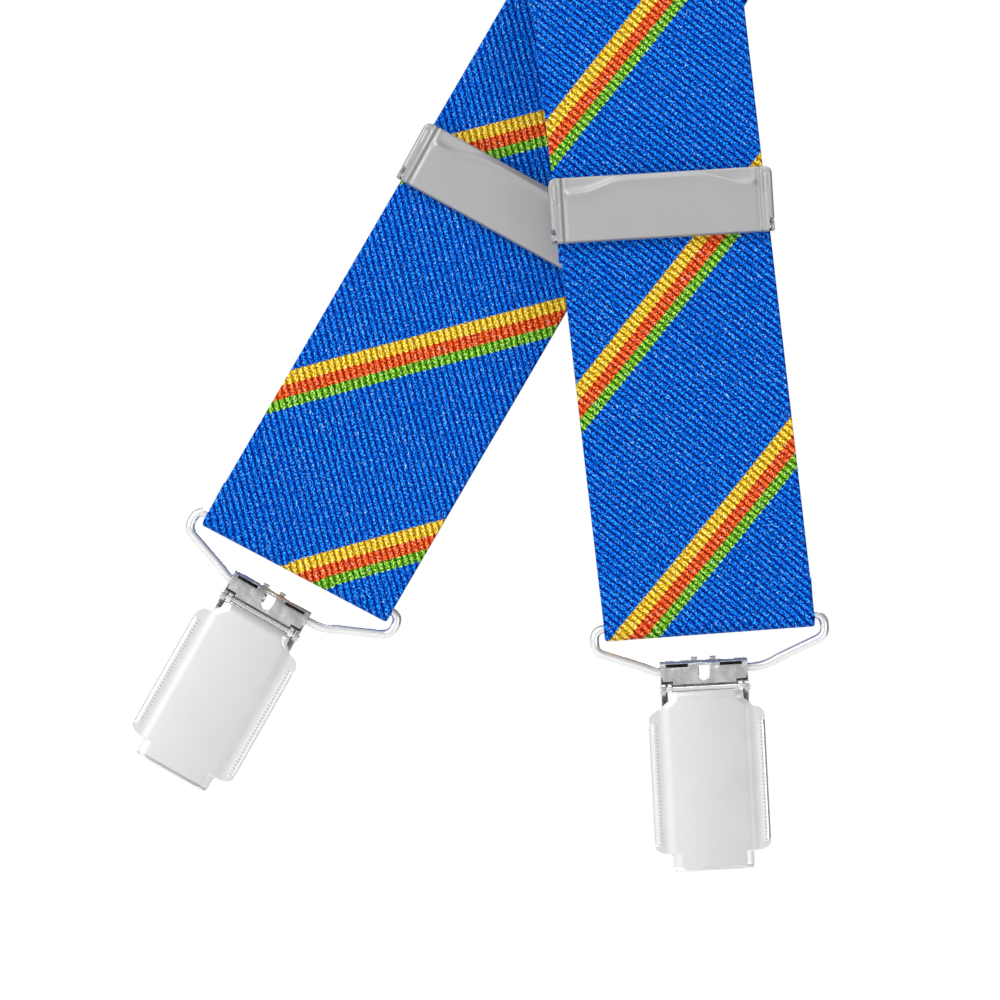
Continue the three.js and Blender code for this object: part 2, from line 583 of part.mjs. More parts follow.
// Clip body: a sheet rolled into a sleeve round the wire, then down as the back jaw, with an apron
// in front, an ear on each side for the clip pin, and a window and two slots in the sleeve.
function clipBody() {
  const rear = SLEEVE_OUTER;
  const front = rear - SHEET;
  const foot = -LOOP_DROP - BODY_LENGTH;
  const sleeve = rod(SLEEVE_OUTER, -BODY_HALF, BODY_HALF, 0, -LOOP_DROP, 20);
  const tunnel = rod(SLEEVE_INNER, -STRAP_WIDTH, STRAP_WIDTH, 0, -LOOP_DROP, 16);
  const plate = drawnBack(
    mirroredOutline([[BODY_HALF, -LOOP_DROP, 0.1], [BODY_HALF, foot, 2]]), front, rear, 4,
  );
  const ear = new THREE.Shape();
  ear.moveTo(rear - SHEET / 2, CLIP_PIN_Z + CLIP_EAR_RADIUS);
  ear.lineTo(-CLIP_PIN_FORWARD, CLIP_PIN_Z + CLIP_EAR_RADIUS);
  ear.absarc(-CLIP_PIN_FORWARD, CLIP_PIN_Z, CLIP_EAR_RADIUS, Math.PI / 2, (3 * Math.PI) / 2, false);
  ear.lineTo(rear - SHEET / 2, CLIP_PIN_Z - CLIP_EAR_RADIUS - CLIP_EAR_TAPER);
  ear.closePath();
  const ears = [
    drawnAcross(ear, BODY_HALF - SHEET, BODY_HALF, 8),
    drawnAcross(ear, -BODY_HALF, SHEET - BODY_HALF, 8),
  ];
  const windowTop = -LOOP_DROP + WINDOW_RISE;
  const windowFoot = windowTop - WINDOW_HEIGHT;
  const windowHalf = WINDOW_WIDTH / 2;
  const windowRound = new THREE.CylinderGeometry(windowHalf, windowHalf, 4 * rear, 20);
  const window = joined(
    block(-windowHalf, windowHalf, -2 * rear, 2 * rear, windowFoot + windowHalf, windowTop),
    windowRound.translate(0, 0, windowFoot + windowHalf),
  );
  const apronHalf = BODY_HALF - 2 * (SHEET + CLEAR);
  const apronFoot = CLIP_PIN_Z + CLIP_PIN_RADIUS + CLEAR;
  const wideHalf = BODY_HALF - SHEET / 2;
  const wideFoot = CLIP_PIN_Z + CLIP_EAR_RADIUS + CLEAR;
  const apron = joined(
    block(-apronHalf, apronHalf, -rear, -front, apronFoot, -LOOP_DROP),
    block(-wideHalf, wideHalf, -rear, -front, wideFoot, -LOOP_DROP),
  );
  const bumps = [1, -1].map((side) => {
    const x = side * BUMP_PLACE;
    return rod(BUMP_RADIUS, x - BUMP_RADIUS, x + BUMP_RADIUS, 0, SLEEVE_OUTER - LOOP_DROP, 10);
  });
  const hole = rod(
    CLIP_PIN_RADIUS + PRESS_CLEAR, -STRAP_WIDTH, STRAP_WIDTH, -CLIP_PIN_FORWARD, CLIP_PIN_Z, 12,
  );
  const slots = [1, -1].map((side) => {
    const inner = side * (BODY_HALF - SLOT_MARGIN - SLOT_LENGTH);
    const outer = side * (BODY_HALF - SLOT_MARGIN);
    return block(
      Math.min(inner, outer), Math.max(inner, outer), -2 * rear, 0,
      -LOOP_DROP + SLOT_RISE, -LOOP_DROP + SLOT_RISE + SLOT_HEIGHT,
    );
  });
  const whole = joined(sleeve, plate, apron, ...ears, ...bumps);
  return cut(whole, tunnel, window, hole, ...slots);
}

// The lever is the clip's front plate: knuckles on the clip pin, a raised panel, a bead and a
// flange down each side, and a tongue whose lip turns out.
function clipLever() {
  const tip = CLIP_PIN_Z - LEVER_LENGTH;
  const tongue = tip + TONGUE_LENGTH;
  const half = LEVER_WIDTH / 2;
  const neck = BODY_HALF - SHEET - CLEAR;
  const neckTop = CLIP_PIN_Z - CLEAR;
  const neckFoot = neckTop - NECK_LENGTH;
  const shoulder = neckFoot - SHOULDER_LENGTH;
  const face = drawnBack(mirroredOutline([
    [neck, neckTop, 0.2],
    [neck, neckFoot, 0.2],
    [LEVER_PANEL / 2, neckFoot - 0.7, 0.4],
    [half, shoulder, 2],
    [half, tongue - 0.4, 1.2],
    [TONGUE_WIDTH / 2, tongue, 0.4],
    [TONGUE_WIDTH / 2, tip, 1],
  ]), -LEVER_FRONT, -LEVER_REAR, 4);
  const panel = drawnBack(mirroredOutline([
    [LEVER_PANEL / 2, shoulder + 1.4, 1.2],
    [LEVER_PANEL / 2, tongue + 0.6, 1.2],
  ]), -LEVER_FRONT - PANEL_RAISE, -LEVER_FRONT + SHEET / 2, 4);
  const lipRadius = LIP_HEIGHT / 2;
  const lipHalf = TONGUE_WIDTH / 2 - 1;
  const lip = rod(lipRadius, -lipHalf, lipHalf, -LEVER_FRONT, tip + lipRadius, 10);
  const flangeRear = -LEVER_FRONT + LEVER_FLANGE_DEPTH;
  const side = roundedOutline([
    [-LEVER_FRONT + 0.1, shoulder - 0.8],
    [flangeRear, shoulder - 2],
    [flangeRear, tongue + 2],
    [-LEVER_FRONT + 0.1, tongue + 0.9],
  ].map(([y, z]) => new THREE.Vector2(y, z)), [0.1, 1.2, 1.2, 0.1]);
  const flanges = [
    drawnAcross(side, half - SHEET, half),
    drawnAcross(side, -half, SHEET - half),
  ];
  const beads = [1, -1].map((turn) => {
    const x = turn * (LEVER_PANEL + LEVER_WIDTH) / 4;
    const ends = [shoulder - 0.4, tongue + 0.8].map((z) => new THREE.Vector3(x, -LEVER_FRONT, z));
    return wireAlong(ends, BEAD_RADIUS, 8);
  });
  const knuckles = [
    rod(CLIP_EAR_RADIUS, neck - SHEET, neck, -CLIP_PIN_FORWARD, CLIP_PIN_Z, 16),
    rod(CLIP_EAR_RADIUS, -neck, SHEET - neck, -CLIP_PIN_FORWARD, CLIP_PIN_Z, 16),
  ];
  const bore = rod(
    CLIP_PIN_RADIUS + TURN_CLEAR, -STRAP_WIDTH, STRAP_WIDTH, -CLIP_PIN_FORWARD, CLIP_PIN_Z, 12,
  );
  return cut(joined(face, panel, lip, ...flanges, ...beads, ...knuckles), bore);
}

function clipPin() {
  const half = BODY_HALF + CLEAR;
  return rod(CLIP_PIN_RADIUS, -half, half, -CLIP_PIN_FORWARD, CLIP_PIN_Z, 12);
}

// Toothed plastic pad on the back jaw, which grips the waistband against the lever.
function jawPad() {
  const rear = SLEEVE_OUTER - SHEET - CLEAR;
  const front = JAW_GAP - LEVER_REAR;
  const foot = -LOOP_DROP - BODY_LENGTH + PAD_MARGIN;
  const pitch = PAD_LENGTH / PAD_TEETH;
  const section = [[rear, foot]];
  for (let tooth = 0; tooth < PAD_TEETH; tooth += 1) {
    section.push([front, foot + tooth * pitch]);
    section.push([front + TOOTH_DEPTH, foot + (tooth + 1) * pitch]);
  }
  section.push([rear, foot + PAD_LENGTH]);
  const half = BODY_HALF - PAD_MARGIN;
  return drawnAcross(outline(section), -half, half);
}

// -------------------------------------------------------------------------------------- assembly

function named(name, geometry, finish) {
  const mesh = new THREE.Mesh(geometry, finish);
  mesh.name = name;
  return mesh;
}

// The clip and its wire loop, in the frame of the fold's bar. The loop is moved along that bar, and
// the clip along the loop's lower bar and turned about the middle of that bar.
function clipSet(name, loopShift = 0, clipShift = 0, clipTurn = 0) {
  const clip = new THREE.Group();
  clip.position.z = LOOP_DROP;
  clip.add(
    named(`${name}_clip_body`, clipBody(), nickel()),
    named(`${name}_clip_lever`, clipLever(), nickel()),
    named(`${name}_clip_pin`, clipPin(), nickel()),
    named(`${name}_jaw_pad`, jawPad(), plastic()),
  );
  const hung = new THREE.Group();
  hung.position.set(loopShift + clipShift, 0, -LOOP_DROP);
  hung.rotation.y = rad(clipTurn);
  hung.add(clip);
  const loop = named(`${name}_wire_loop`, wireLoop(), nickel());
  loop.position.x = loopShift;
  const set = new THREE.Group();
  set.add(loop, hung);
  return set;
}

function frontSide(name, side) {
  const group = new THREE.Group();
  group.position.copy(foldPlace(side));
  group.rotation.y = -side * rad(CROSS_ANGLE);
  const adjuster = new THREE.Group();
  adjuster.position.z = ADJUSTER_RISE;
  adjuster.rotation.y = side * adjusterSkew(side);
  adjuster.add(
    named(`${name}_adjuster_flap`, adjusterFlap(), satin()),
    named(`${name}_adjuster_frame`, adjusterFrame(), satin()),
    named(`${name}_adjuster_pin`, flapPin(), nickel()),
    named(`${name}_strap_end`, sewnEnd(), webbing()),
  );
  const clip = side > 0
    ? clipSet(name, RIGHT_LOOP_SHIFT, RIGHT_CLIP_SHIFT, RIGHT_CLIP_TURN)
    : clipSet(name, LEFT_LOOP_SHIFT, LEFT_CLIP_SHIFT, LEFT_CLIP_TURN);
  clip.position.y = BAR_DEPTH;
  clip.rotation.y = side * rad(FOLD_SKEW);
  group.add(named(`${name}_strap_return`, returnLayer(side), webbing()), adjuster, clip);
  return group;
}

const suspenders = new THREE.Group();
for (const [name, side] of [["right", 1], ["left", -1]]) {
  suspenders.add(
    named(`${name}_strap`, strapFront(side), webbing()),
    named(`${name}_strap_shoulder`, strapShoulder(side), webbing()),
    named(`${name}_strap_back`, strapBack(side), webbing()),
  );
}
suspenders.add(
  frontSide("right", 1),
  frontSide("left", -1),
  named("back_strap", backStrap(), elastic()),
);

const patchRear = SHOULDER_DEPTH + HALF_THICK + CLEAR;
const patchFront = SHOULDER_DEPTH - HALF_THICK - CLEAR;
suspenders.add(
  named("patch_outer", drawnBack(patchOutline(), patchRear, patchRear + PATCH_THICK, 4), leather()),
  named("patch_inner", drawnBack(patchOutline(), patchFront - PATCH_THICK, patchFront, 4), leather()),
);

const backClip = clipSet("back");
backClip.position.set(0, SHOULDER_DEPTH - BAR_DEPTH, BACK_FOLD_Z);
backClip.rotation.z = Math.PI;
suspenders.add(backClip);

export default suspenders;
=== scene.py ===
"""Looks of the Y-back suspenders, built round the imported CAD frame. Metres, +Z up."""

import json
import math

import bmesh
import bpy
import numpy as np
from mathutils import Matrix, Vector

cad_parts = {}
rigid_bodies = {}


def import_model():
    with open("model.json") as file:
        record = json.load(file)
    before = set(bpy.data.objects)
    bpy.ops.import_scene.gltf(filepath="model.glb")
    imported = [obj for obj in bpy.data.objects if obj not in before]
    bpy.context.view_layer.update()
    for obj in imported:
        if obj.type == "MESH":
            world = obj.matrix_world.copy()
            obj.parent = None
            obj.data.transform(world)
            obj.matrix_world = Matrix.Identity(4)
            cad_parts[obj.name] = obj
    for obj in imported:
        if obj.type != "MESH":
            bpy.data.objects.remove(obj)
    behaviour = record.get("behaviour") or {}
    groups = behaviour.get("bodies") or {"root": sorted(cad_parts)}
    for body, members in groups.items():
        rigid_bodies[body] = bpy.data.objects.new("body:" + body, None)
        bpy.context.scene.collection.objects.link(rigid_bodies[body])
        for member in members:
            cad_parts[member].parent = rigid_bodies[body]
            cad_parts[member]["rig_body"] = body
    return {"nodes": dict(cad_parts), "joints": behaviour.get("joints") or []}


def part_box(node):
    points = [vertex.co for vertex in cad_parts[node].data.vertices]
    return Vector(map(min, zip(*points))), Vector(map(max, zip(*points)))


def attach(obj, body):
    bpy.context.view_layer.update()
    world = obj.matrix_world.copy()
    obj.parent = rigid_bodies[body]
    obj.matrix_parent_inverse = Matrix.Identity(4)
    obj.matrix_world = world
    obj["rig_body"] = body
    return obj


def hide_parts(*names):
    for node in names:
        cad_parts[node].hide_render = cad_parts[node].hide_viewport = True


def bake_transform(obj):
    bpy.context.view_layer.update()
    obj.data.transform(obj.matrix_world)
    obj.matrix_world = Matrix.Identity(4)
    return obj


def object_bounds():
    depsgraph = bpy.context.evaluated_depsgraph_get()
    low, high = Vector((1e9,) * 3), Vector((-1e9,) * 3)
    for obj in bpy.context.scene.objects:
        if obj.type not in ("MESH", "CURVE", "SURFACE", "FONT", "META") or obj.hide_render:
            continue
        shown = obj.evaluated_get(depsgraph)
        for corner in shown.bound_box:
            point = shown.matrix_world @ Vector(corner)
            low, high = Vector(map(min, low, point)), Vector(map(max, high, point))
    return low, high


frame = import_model()
nodes = frame["nodes"]
joints = {j["name"]: j for j in frame["joints"]}
cad_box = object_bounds()

# ------------------------------------------------------------------ sizes shared with the CAD, in m

MM = 0.001
STRAP_WIDTH = 35 * MM
STRAP_THICK = 1.2 * MM
RAIL_RADIUS = 12 * MM
SHOULDER_DROP = 6 * MM
CROSS_ANGLE = math.radians(18.4)
FRONT_BEND_RADIUS = 1200 * MM
FRONT_STRAIGHT = 110 * MM
TAIL = {"right": 106.7 * MM, "left": 111.4 * MM}  # from the crossing to the fold
LEAN_START = 20 * MM
LEAN_END = 380 * MM
FOLD_SKEW = math.radians(2.4)
SKEW_LENGTH = 45 * MM
BACK_ANGLE = math.radians(22)
BACK_BEND_RADIUS = 520 * MM
BACK_HEM = 26 * MM
FOLD_TAIL = 6 * MM  # how far a front strap's own solid runs up behind the fold
CLEAR = 0.3 * MM
ADJUSTER_RISE = 69.4 * MM
ADJUSTER_SKEW = {"right": math.radians(3.2), "left": math.radians(1.4)}
SEWN_TAIL = 12 * MM
SIDE = {"right": 1, "left": -1}

SHOULDER_DEPTH = RAIL_RADIUS + STRAP_THICK / 2
BAR_DEPTH = STRAP_THICK / 2 + 0.9 * MM  # from a front layer's middle to the wire loop's axis
SHOULDER_X = (
    FRONT_BEND_RADIUS * (1 - math.cos(CROSS_ANGLE)) + FRONT_STRAIGHT * math.sin(CROSS_ANGLE)
)
CROSS_Z = -(
    SHOULDER_DROP
    + FRONT_BEND_RADIUS * math.sin(CROSS_ANGLE)
    + FRONT_STRAIGHT * math.cos(CROSS_ANGLE)
)
FOLD_LENGTH = math.pi * BAR_DEPTH + FOLD_TAIL
FRONT_DEPTH = {}  # how far each front layer hangs in front of the rail's middle
for name in SIDE:
    FRONT_DEPTH[name] = BAR_DEPTH - joints[f"{name}_loop_swing"]["pos_m"][1]

# Webbing pattern, measured along and across a strap.
RIB_PITCH = 1.05 * MM
STRIPE_REPEAT = 44 * MM
STRIPE_WIDTH = 2.1 * MM  # of the orange band, and of the yellow one
GREEN_WIDTH = 1.75 * MM
STRIPE_PHASE = {"right": 10.7 * MM, "left": -3.6 * MM}  # first stripe above each fold
RIB_RELIEF = 0.045 * MM

# The mesh of a front strap: fine over the stretch above its fold, coarse from there to the patch.
NEAR = 152 * MM
FINE_STEP = 0.27 * MM
FINE_COLUMNS = 118
COARSE_ROWS = 420
COARSE_COLUMNS = 24
FOLD_ROWS = 22


def smooth(t):
    t = np.clip(t, 0, 1)
    return t * t * (3 - 2 * t)


# --------------------------------------------------------------------------------- webbing paths


def resampled(points, step):
    """The same line with a point every step, or at each of a list of lengths, and those lengths."""
    points = np.asarray(points, float)
    gaps = np.linalg.norm(np.diff(points, axis=0), axis=1)
    reach = np.concatenate([[0], np.cumsum(gaps)])
    wanted = step
    if not hasattr(step, "__len__"):
        wanted = np.linspace(0, reach[-1], int(reach[-1] / step) + 2)
    return np.stack([np.interp(wanted, reach, points[:, k]) for k in range(3)], 1), wanted


def length_of(line):
    """The length of a line of points, in its own unit."""
    return float(np.linalg.norm(np.diff(np.asarray(line, float), axis=0), axis=1).sum())


def frames_along(points):
    """Tangent, across and out at each point of a webbing's middle line."""
    tangent = np.gradient(points, axis=0)
    tangent /= np.linalg.norm(tangent, axis=1)[:, None]
    across = np.array([1.0, 0, 0]) - tangent[:, :1] * tangent
    across /= np.linalg.norm(across, axis=1)[:, None]
    return tangent, across, np.cross(across, tangent)


def front_strap_line(name):
    """Middle line of a front strap from the fold back over the rail to the patch."""
    side = SIDE[name]
    start = -side * SHOULDER_X
    lean = FRONT_DEPTH[name] - SHOULDER_DEPTH
    fold = TAIL[name]
    direction = np.array([side * math.sin(CROSS_ANGLE), 0, -math.cos(CROSS_ANGLE)])
    crossing = np.array([0, -FRONT_DEPTH[name], CROSS_Z])
    line = [crossing + direction * t for t in np.linspace(fold, -FRONT_STRAIGHT, 60)]
    for angle in np.linspace(CROSS_ANGLE, 0, 160):
        z = -SHOULDER_DROP - FRONT_BEND_RADIUS * math.sin(angle)
        x = start + side * FRONT_BEND_RADIUS * (1 - math.cos(angle))
        line.append(np.array([x, 0, z]))
    line = np.array(line)
    leaning = smooth((-line[:, 2] - LEAN_START) / (LEAN_END - LEAN_START))
    line[:, 1] = -SHOULDER_DEPTH - lean * leaning
    over = [
        [start, -SHOULDER_DEPTH * math.cos(a), SHOULDER_DEPTH * math.sin(a)]
        for a in np.linspace(0, math.pi, 40)
    ]
    back = []
    for angle in np.linspace(0, BACK_ANGLE, 60):
        x = start + side * BACK_BEND_RADIUS * (1 - math.cos(angle))
        back.append([x, SHOULDER_DEPTH, -SHOULDER_DROP - BACK_BEND_RADIUS * math.sin(angle)])
    end_x = STRAP_WIDTH / 2 * math.cos(BACK_ANGLE) + CLEAR
    run = (abs(back[-1][0]) - end_x) / math.sin(BACK_ANGLE)
    back.append([
        back[-1][0] + side * run * math.sin(BACK_ANGLE), SHOULDER_DEPTH,
        back[-1][2] - run * math.cos(BACK_ANGLE),
    ])
    return np.concatenate([line, over, back])


def fold_arc(place, down):
    """Middle line, axis and outward normal of a fold: up behind the bar, round it, to the front."""
    back = np.array([0, 1.0, 0])
    across = np.array([-down[2], 0, down[0]]) / math.cos(FOLD_SKEW)
    rows = []
    for a in np.linspace(math.pi, 0, FOLD_ROWS):
        point = place + BAR_DEPTH * (math.sin(a) * down + (1 - math.cos(a)) * back)
        normal = math.sin(a) * down - math.cos(a) * back
        rows.append((point, across, normal))
    start = rows[0][0] - down * FOLD_TAIL
    return [(start, across, rows[0][2])] + rows


# ------------------------------------------------------------------------------ mesh construction


def mesh_object(name, points, faces, uvs=None):
    """A new smooth-shaded object. uvs holds an (across, along) pair for each point."""
    mesh = bpy.data.meshes.new(name)
    mesh.from_pydata([tuple(p) for p in points], [], faces)
    if uvs is not None:
        layer = mesh.uv_layers.new(name="weave")
        corners = np.zeros(len(mesh.loops), np.int32)
        mesh.loops.foreach_get("vertex_index", corners)
        layer.data.foreach_set("uv", np.asarray(uvs, np.float32)[corners].ravel())
    mesh.polygons.foreach_set("use_smooth", [True] * len(mesh.polygons))
    mesh.update()
    made = bpy.data.objects.new(name, mesh)
    bpy.context.scene.collection.objects.link(made)
    return made


def grid_faces(rows, columns, first=0, closed=False):
    """Quads between neighbouring rows of points, closed round each row if asked."""
    last = columns if closed else columns - 1
    return [
        (
            first + r * columns + c,
            first + r * columns + (c + 1) % columns,
            first + (r + 1) * columns + (c + 1) % columns,
            first + (r + 1) * columns + c,
        )
        for r in range(rows - 1)
        for c in range(last)
    ]


def rib_height(u, s):
    """0 in the grooves and 1 on the crests of the diagonal ribs."""
    return np.abs(np.sin(math.pi * (s + u) / math.sqrt(2) / RIB_PITCH)) ** 0.7


def webbing(name, lines, phase=0.0, relief=0.0):
    """A strap with rounded selvedges. lines is a list of (points, axes, normals, lengths, columns):
    stretches that meet end to end, each with its own number of points across."""
    points, faces, uvs = [], [], []
    half = STRAP_WIDTH / 2
    thick = STRAP_THICK / 2
    selvedge = thick * 0.7
    turn = np.linspace(math.pi / 2, -math.pi / 2, 7)[1:-1]
    right_u = half - selvedge + selvedge * np.cos(turn)
    right_h = thick * np.sin(turn)
    no_ribs = np.zeros(len(turn))
    for centre, axis, normal, reach, columns in lines:
        flat = np.linspace(-half + selvedge, half - selvedge, columns)
        level, ribbed = np.full(columns, thick), np.ones(columns)
        u = np.concatenate([flat, right_u, flat[::-1], -right_u])
        h = np.concatenate([level, right_h, -level, -right_h])
        face = np.concatenate([ribbed, no_ribs, ribbed, no_ribs])
        ring = len(u)
        rows = len(centre)
        height = np.tile(h, (rows, 1))
        if relief and columns == FINE_COLUMNS:
            from_ends = np.minimum(reach - reach[0], reach[-1] - reach)[:, None]
            fade = smooth(from_ends / (2 * MM))
            rib = rib_height(u[None, :], (reach - phase)[:, None])
            height -= np.sign(h)[None, :] * face[None, :] * relief * (1 - rib) * fade
        p = centre[:, None, :] + u[None, :, None] * axis[:, None, :]
        p = p + height[..., None] * normal[:, None, :]
        first = len(points)
        points.extend(p.reshape(-1, 3))
        weave = np.broadcast_arrays(u[None, :], (reach - phase)[:, None])
        uvs.extend(np.stack(weave, -1).reshape(-1, 2))
        faces.extend([q[::-1] for q in grid_faces(rows, ring, first, closed=True)])
        faces.append(tuple(first + i for i in range(ring)))
        faces.append(tuple(first + (rows - 1) * ring + i for i in reversed(range(ring))))
    return mesh_object(name, points, faces, uvs)


def tube(path, radius, sides=20):
    """Points and faces of a round tube along a path."""
    path = np.asarray(path, float)
    tangent = np.gradient(path, axis=0)
    tangent /= np.linalg.norm(tangent, axis=1)[:, None]
    side = np.cross(tangent[0], [0.3, 0.5, 0.81])
    rings = []
    for p, t in zip(path, tangent):
        side = side - t * np.dot(side, t)
        side /= np.linalg.norm(side)
        other = np.cross(t, side)
        angles = np.linspace(0, 2 * math.pi, sides, endpoint=False)
        ring = np.cos(angles)[:, None] * side + np.sin(angles)[:, None] * other
        rings.append(p + radius * ring)
    faces = grid_faces(len(path), sides, closed=True)
    faces.append(tuple(reversed(range(sides))))
    faces.append(tuple((len(path) - 1) * sides + i for i in range(sides)))
    return np.concatenate(rings), faces


def joined_tubes(name, paths, radius, sides=20):
    """One object of several round tubes."""
    points, faces = [], []
    for path in paths:
        p, f = tube(path, radius, sides)
        faces.extend(tuple(i + len(points) for i in face) for face in f)
        points.extend(p)
    return mesh_object(name, points, faces)


def pressed_sheet(rows, thickness):
    """Points and faces of a bent sheet. rows is its front surface, as rows of columns of points."""
    down = np.gradient(rows, axis=0)
    across = np.gradient(rows, axis=1)
    normal = np.cross(across, down)
    normal /= np.maximum(np.linalg.norm(normal, axis=2), 1e-12)[..., None]
    if normal[..., 1].mean() > 0:
        normal = -normal
    back = rows - normal * thickness
    n, m = rows.shape[:2]
    points = np.concatenate([rows.reshape(-1, 3), back.reshape(-1, 3)])
    front_faces = grid_faces(n, m)
    back_faces = [tuple(i + n * m for i in q[::-1]) for q in front_faces]
    rim = [(r, 0) for r in range(n)] + [(n - 1, c) for c in range(1, m)]
    rim += [(r, m - 1) for r in range(n - 2, -1, -1)] + [(0, c) for c in range(m - 2, 0, -1)]
    ids = [r * m + c for r, c in rim]
    walls = [
        (ids[k], ids[k] + n * m, ids[(k + 1) % len(ids)] + n * m, ids[(k + 1) % len(ids)])
        for k in range(len(ids))
    ]
    return points, front_faces + back_faces + walls


def finished_normals(made):
    """Faces all turned outwards."""
    bm = bmesh.new()
    bm.from_mesh(made.data)
    bmesh.ops.recalc_face_normals(bm, faces=bm.faces)
    bm.to_mesh(made.data)
    bm.free()
    return made


def placed(matrix, points):
    """Points in a hardware frame, in millimetres, moved to the row frame in metres."""
    m = np.array(matrix)
    return np.asarray(points) * MM @ m[:3, :3].T + m[:3, 3]


def hinge_frame(joint):
    """A hinge's own frame: X along its pin, Y through the strap to its back, Z up the strap."""
    j = joints[joint]
    x = -Vector(j["axis"]).normalized()
    y = Vector((0, 1, 0))
    z = x.cross(y)
    if z.z < 0:
        y = -y
        z = x.cross(y)
    m = Matrix((x, y, z)).transposed().to_4x4()
    m.translation = Vector(j["pos_m"])
    return m


def rounded_copy(node, width, segments=2, angle=math.radians(32)):
    """A CAD node's shape with its edges rounded, which stands for the node."""
    source = nodes[node]
    mesh = source.data.copy()
    mesh.name = f"{node}_detail"
    made = bpy.data.objects.new(f"{node}_detail", mesh)
    bpy.context.scene.collection.objects.link(made)
    bm = bmesh.new()
    bm.from_mesh(mesh)
    bmesh.ops.remove_doubles(bm, verts=bm.verts, dist=1e-6)
    bmesh.ops.dissolve_limit(bm, angle_limit=math.radians(0.6), verts=bm.verts, edges=bm.edges)
    bm.to_mesh(mesh)
    bm.free()
    bevel = made.modifiers.new("edges", "BEVEL")
    bevel.width = width
    bevel.segments = segments
    bevel.limit_method = "ANGLE"
    bevel.angle_limit = angle
    bevel.harden_normals = False
    mesh.polygons.foreach_set("use_smooth", [True] * len(mesh.polygons))
    smooth_angle(made, math.radians(34))
    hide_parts(node)
    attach(made, source["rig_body"])
    return made


def smooth_angle(made, angle):
    """Edges sharper than the angle stay sharp under smooth shading."""
    bm = bmesh.new()
    bm.from_mesh(made.data)
    for edge in bm.edges:
        if len(edge.link_faces) == 2 and edge.calc_face_angle() > angle:
            edge.smooth = False
    bm.to_mesh(made.data)
    bm.free()


# --------------------------------------------------------------------------------------- materials


def linear(red, green, blue):
    """An sRGB colour, 0 to 255, as linear RGBA."""
    def channel(value):
        v = value / 255
        return v / 12.92 if v <= 0.04045 else ((v + 0.055) / 1.055) ** 2.4

    return (channel(red), channel(green), channel(blue), 1.0)


def socket_name(word):
    """A Principled shader socket's name from its lower-case word form."""
    return word.replace("_", " ").title().replace("Ior", "IOR")


class Surface:
    """One material's node tree, built round a Principled shader."""

    def __init__(self, name, **settings):
        self.material = bpy.data.materials.new(name)
        self.material.use_nodes = True
        self.tree = self.material.node_tree
        self.tree.nodes.clear()
        output = self.tree.nodes.new("ShaderNodeOutputMaterial")
        self.shader = self.tree.nodes.new("ShaderNodeBsdfPrincipled")
        self.tree.links.new(self.shader.outputs[0], output.inputs[0])
        for socket, value in settings.items():
            self.shader.inputs[socket_name(socket)].default_value = value

    def put(self, socket, value):
        if isinstance(value, bpy.types.NodeSocket):
            self.tree.links.new(value, socket)
        else:
            socket.default_value = value

    def math(self, operation, *values):
        node = self.tree.nodes.new("ShaderNodeMath")
        node.operation = operation
        for socket, value in zip(node.inputs, values):
            self.put(socket, value)
        return node.outputs[0]

    def mix(self, factor, low, high):
        node = self.tree.nodes.new("ShaderNodeMix")
        node.data_type = "RGBA"
        self.put(node.inputs[0], factor)
        self.put(node.inputs[6], low)
        self.put(node.inputs[7], high)
        return node.outputs[2]

    def vector(self, x, y, z=0.0):
        node = self.tree.nodes.new("ShaderNodeCombineXYZ")
        for socket, value in zip(node.inputs, (x, y, z)):
            self.put(socket, value)
        return node.outputs[0]

    def noise(self, vector, scale, detail=2.0):
        node = self.tree.nodes.new("ShaderNodeTexNoise")
        self.put(node.inputs["Vector"], vector)
        node.inputs["Scale"].default_value = scale
        node.inputs["Detail"].default_value = detail
        return node.outputs[0]

    def ramp(self, factor, *stops):
        node = self.tree.nodes.new("ShaderNodeValToRGB")
        self.put(node.inputs[0], factor)
        while len(node.color_ramp.elements) < len(stops):
            node.color_ramp.elements.new(0.5)
        for element, (place, colour) in zip(node.color_ramp.elements, stops):
            element.position = place
            element.color = colour
        return node.outputs[0]

    def grey(self, factor, low, high):
        node = self.tree.nodes.new("ShaderNodeMapRange")
        self.put(node.inputs[0], factor)
        node.inputs["To Min"].default_value = low
        node.inputs["To Max"].default_value = high
        return node.outputs[0]

    def shaded(self, colour, factor):
        """The colour multiplied by a grey factor."""
        result = self.mix(1.0, colour, self.vector(factor, factor, factor))
        result.node.blend_type = "MULTIPLY"
        return result

    def weave_place(self):
        """The place across and along a piece of webbing."""
        uv = self.tree.nodes.new("ShaderNodeUVMap")
        uv.uv_map = "weave"
        split = self.tree.nodes.new("ShaderNodeSeparateXYZ")
        self.tree.links.new(uv.outputs[0], split.inputs[0])
        return split.outputs[0], split.outputs[1]

    def object_place(self):
        return self.tree.nodes.new("ShaderNodeTexCoord").outputs["Object"]

    def bump(self, height, distance, strength=1.0, normal=None):
        node = self.tree.nodes.new("ShaderNodeBump")
        node.inputs["Strength"].default_value = strength
        node.inputs["Distance"].default_value = distance
        self.put(node.inputs["Height"], height)
        if normal is not None:
            self.put(node.inputs["Normal"], normal)
        return node.outputs[0]

    def set(self, **sockets):
        for name, value in sockets.items():
            self.put(self.shader.inputs[socket_name(name)], value)
        return self.material


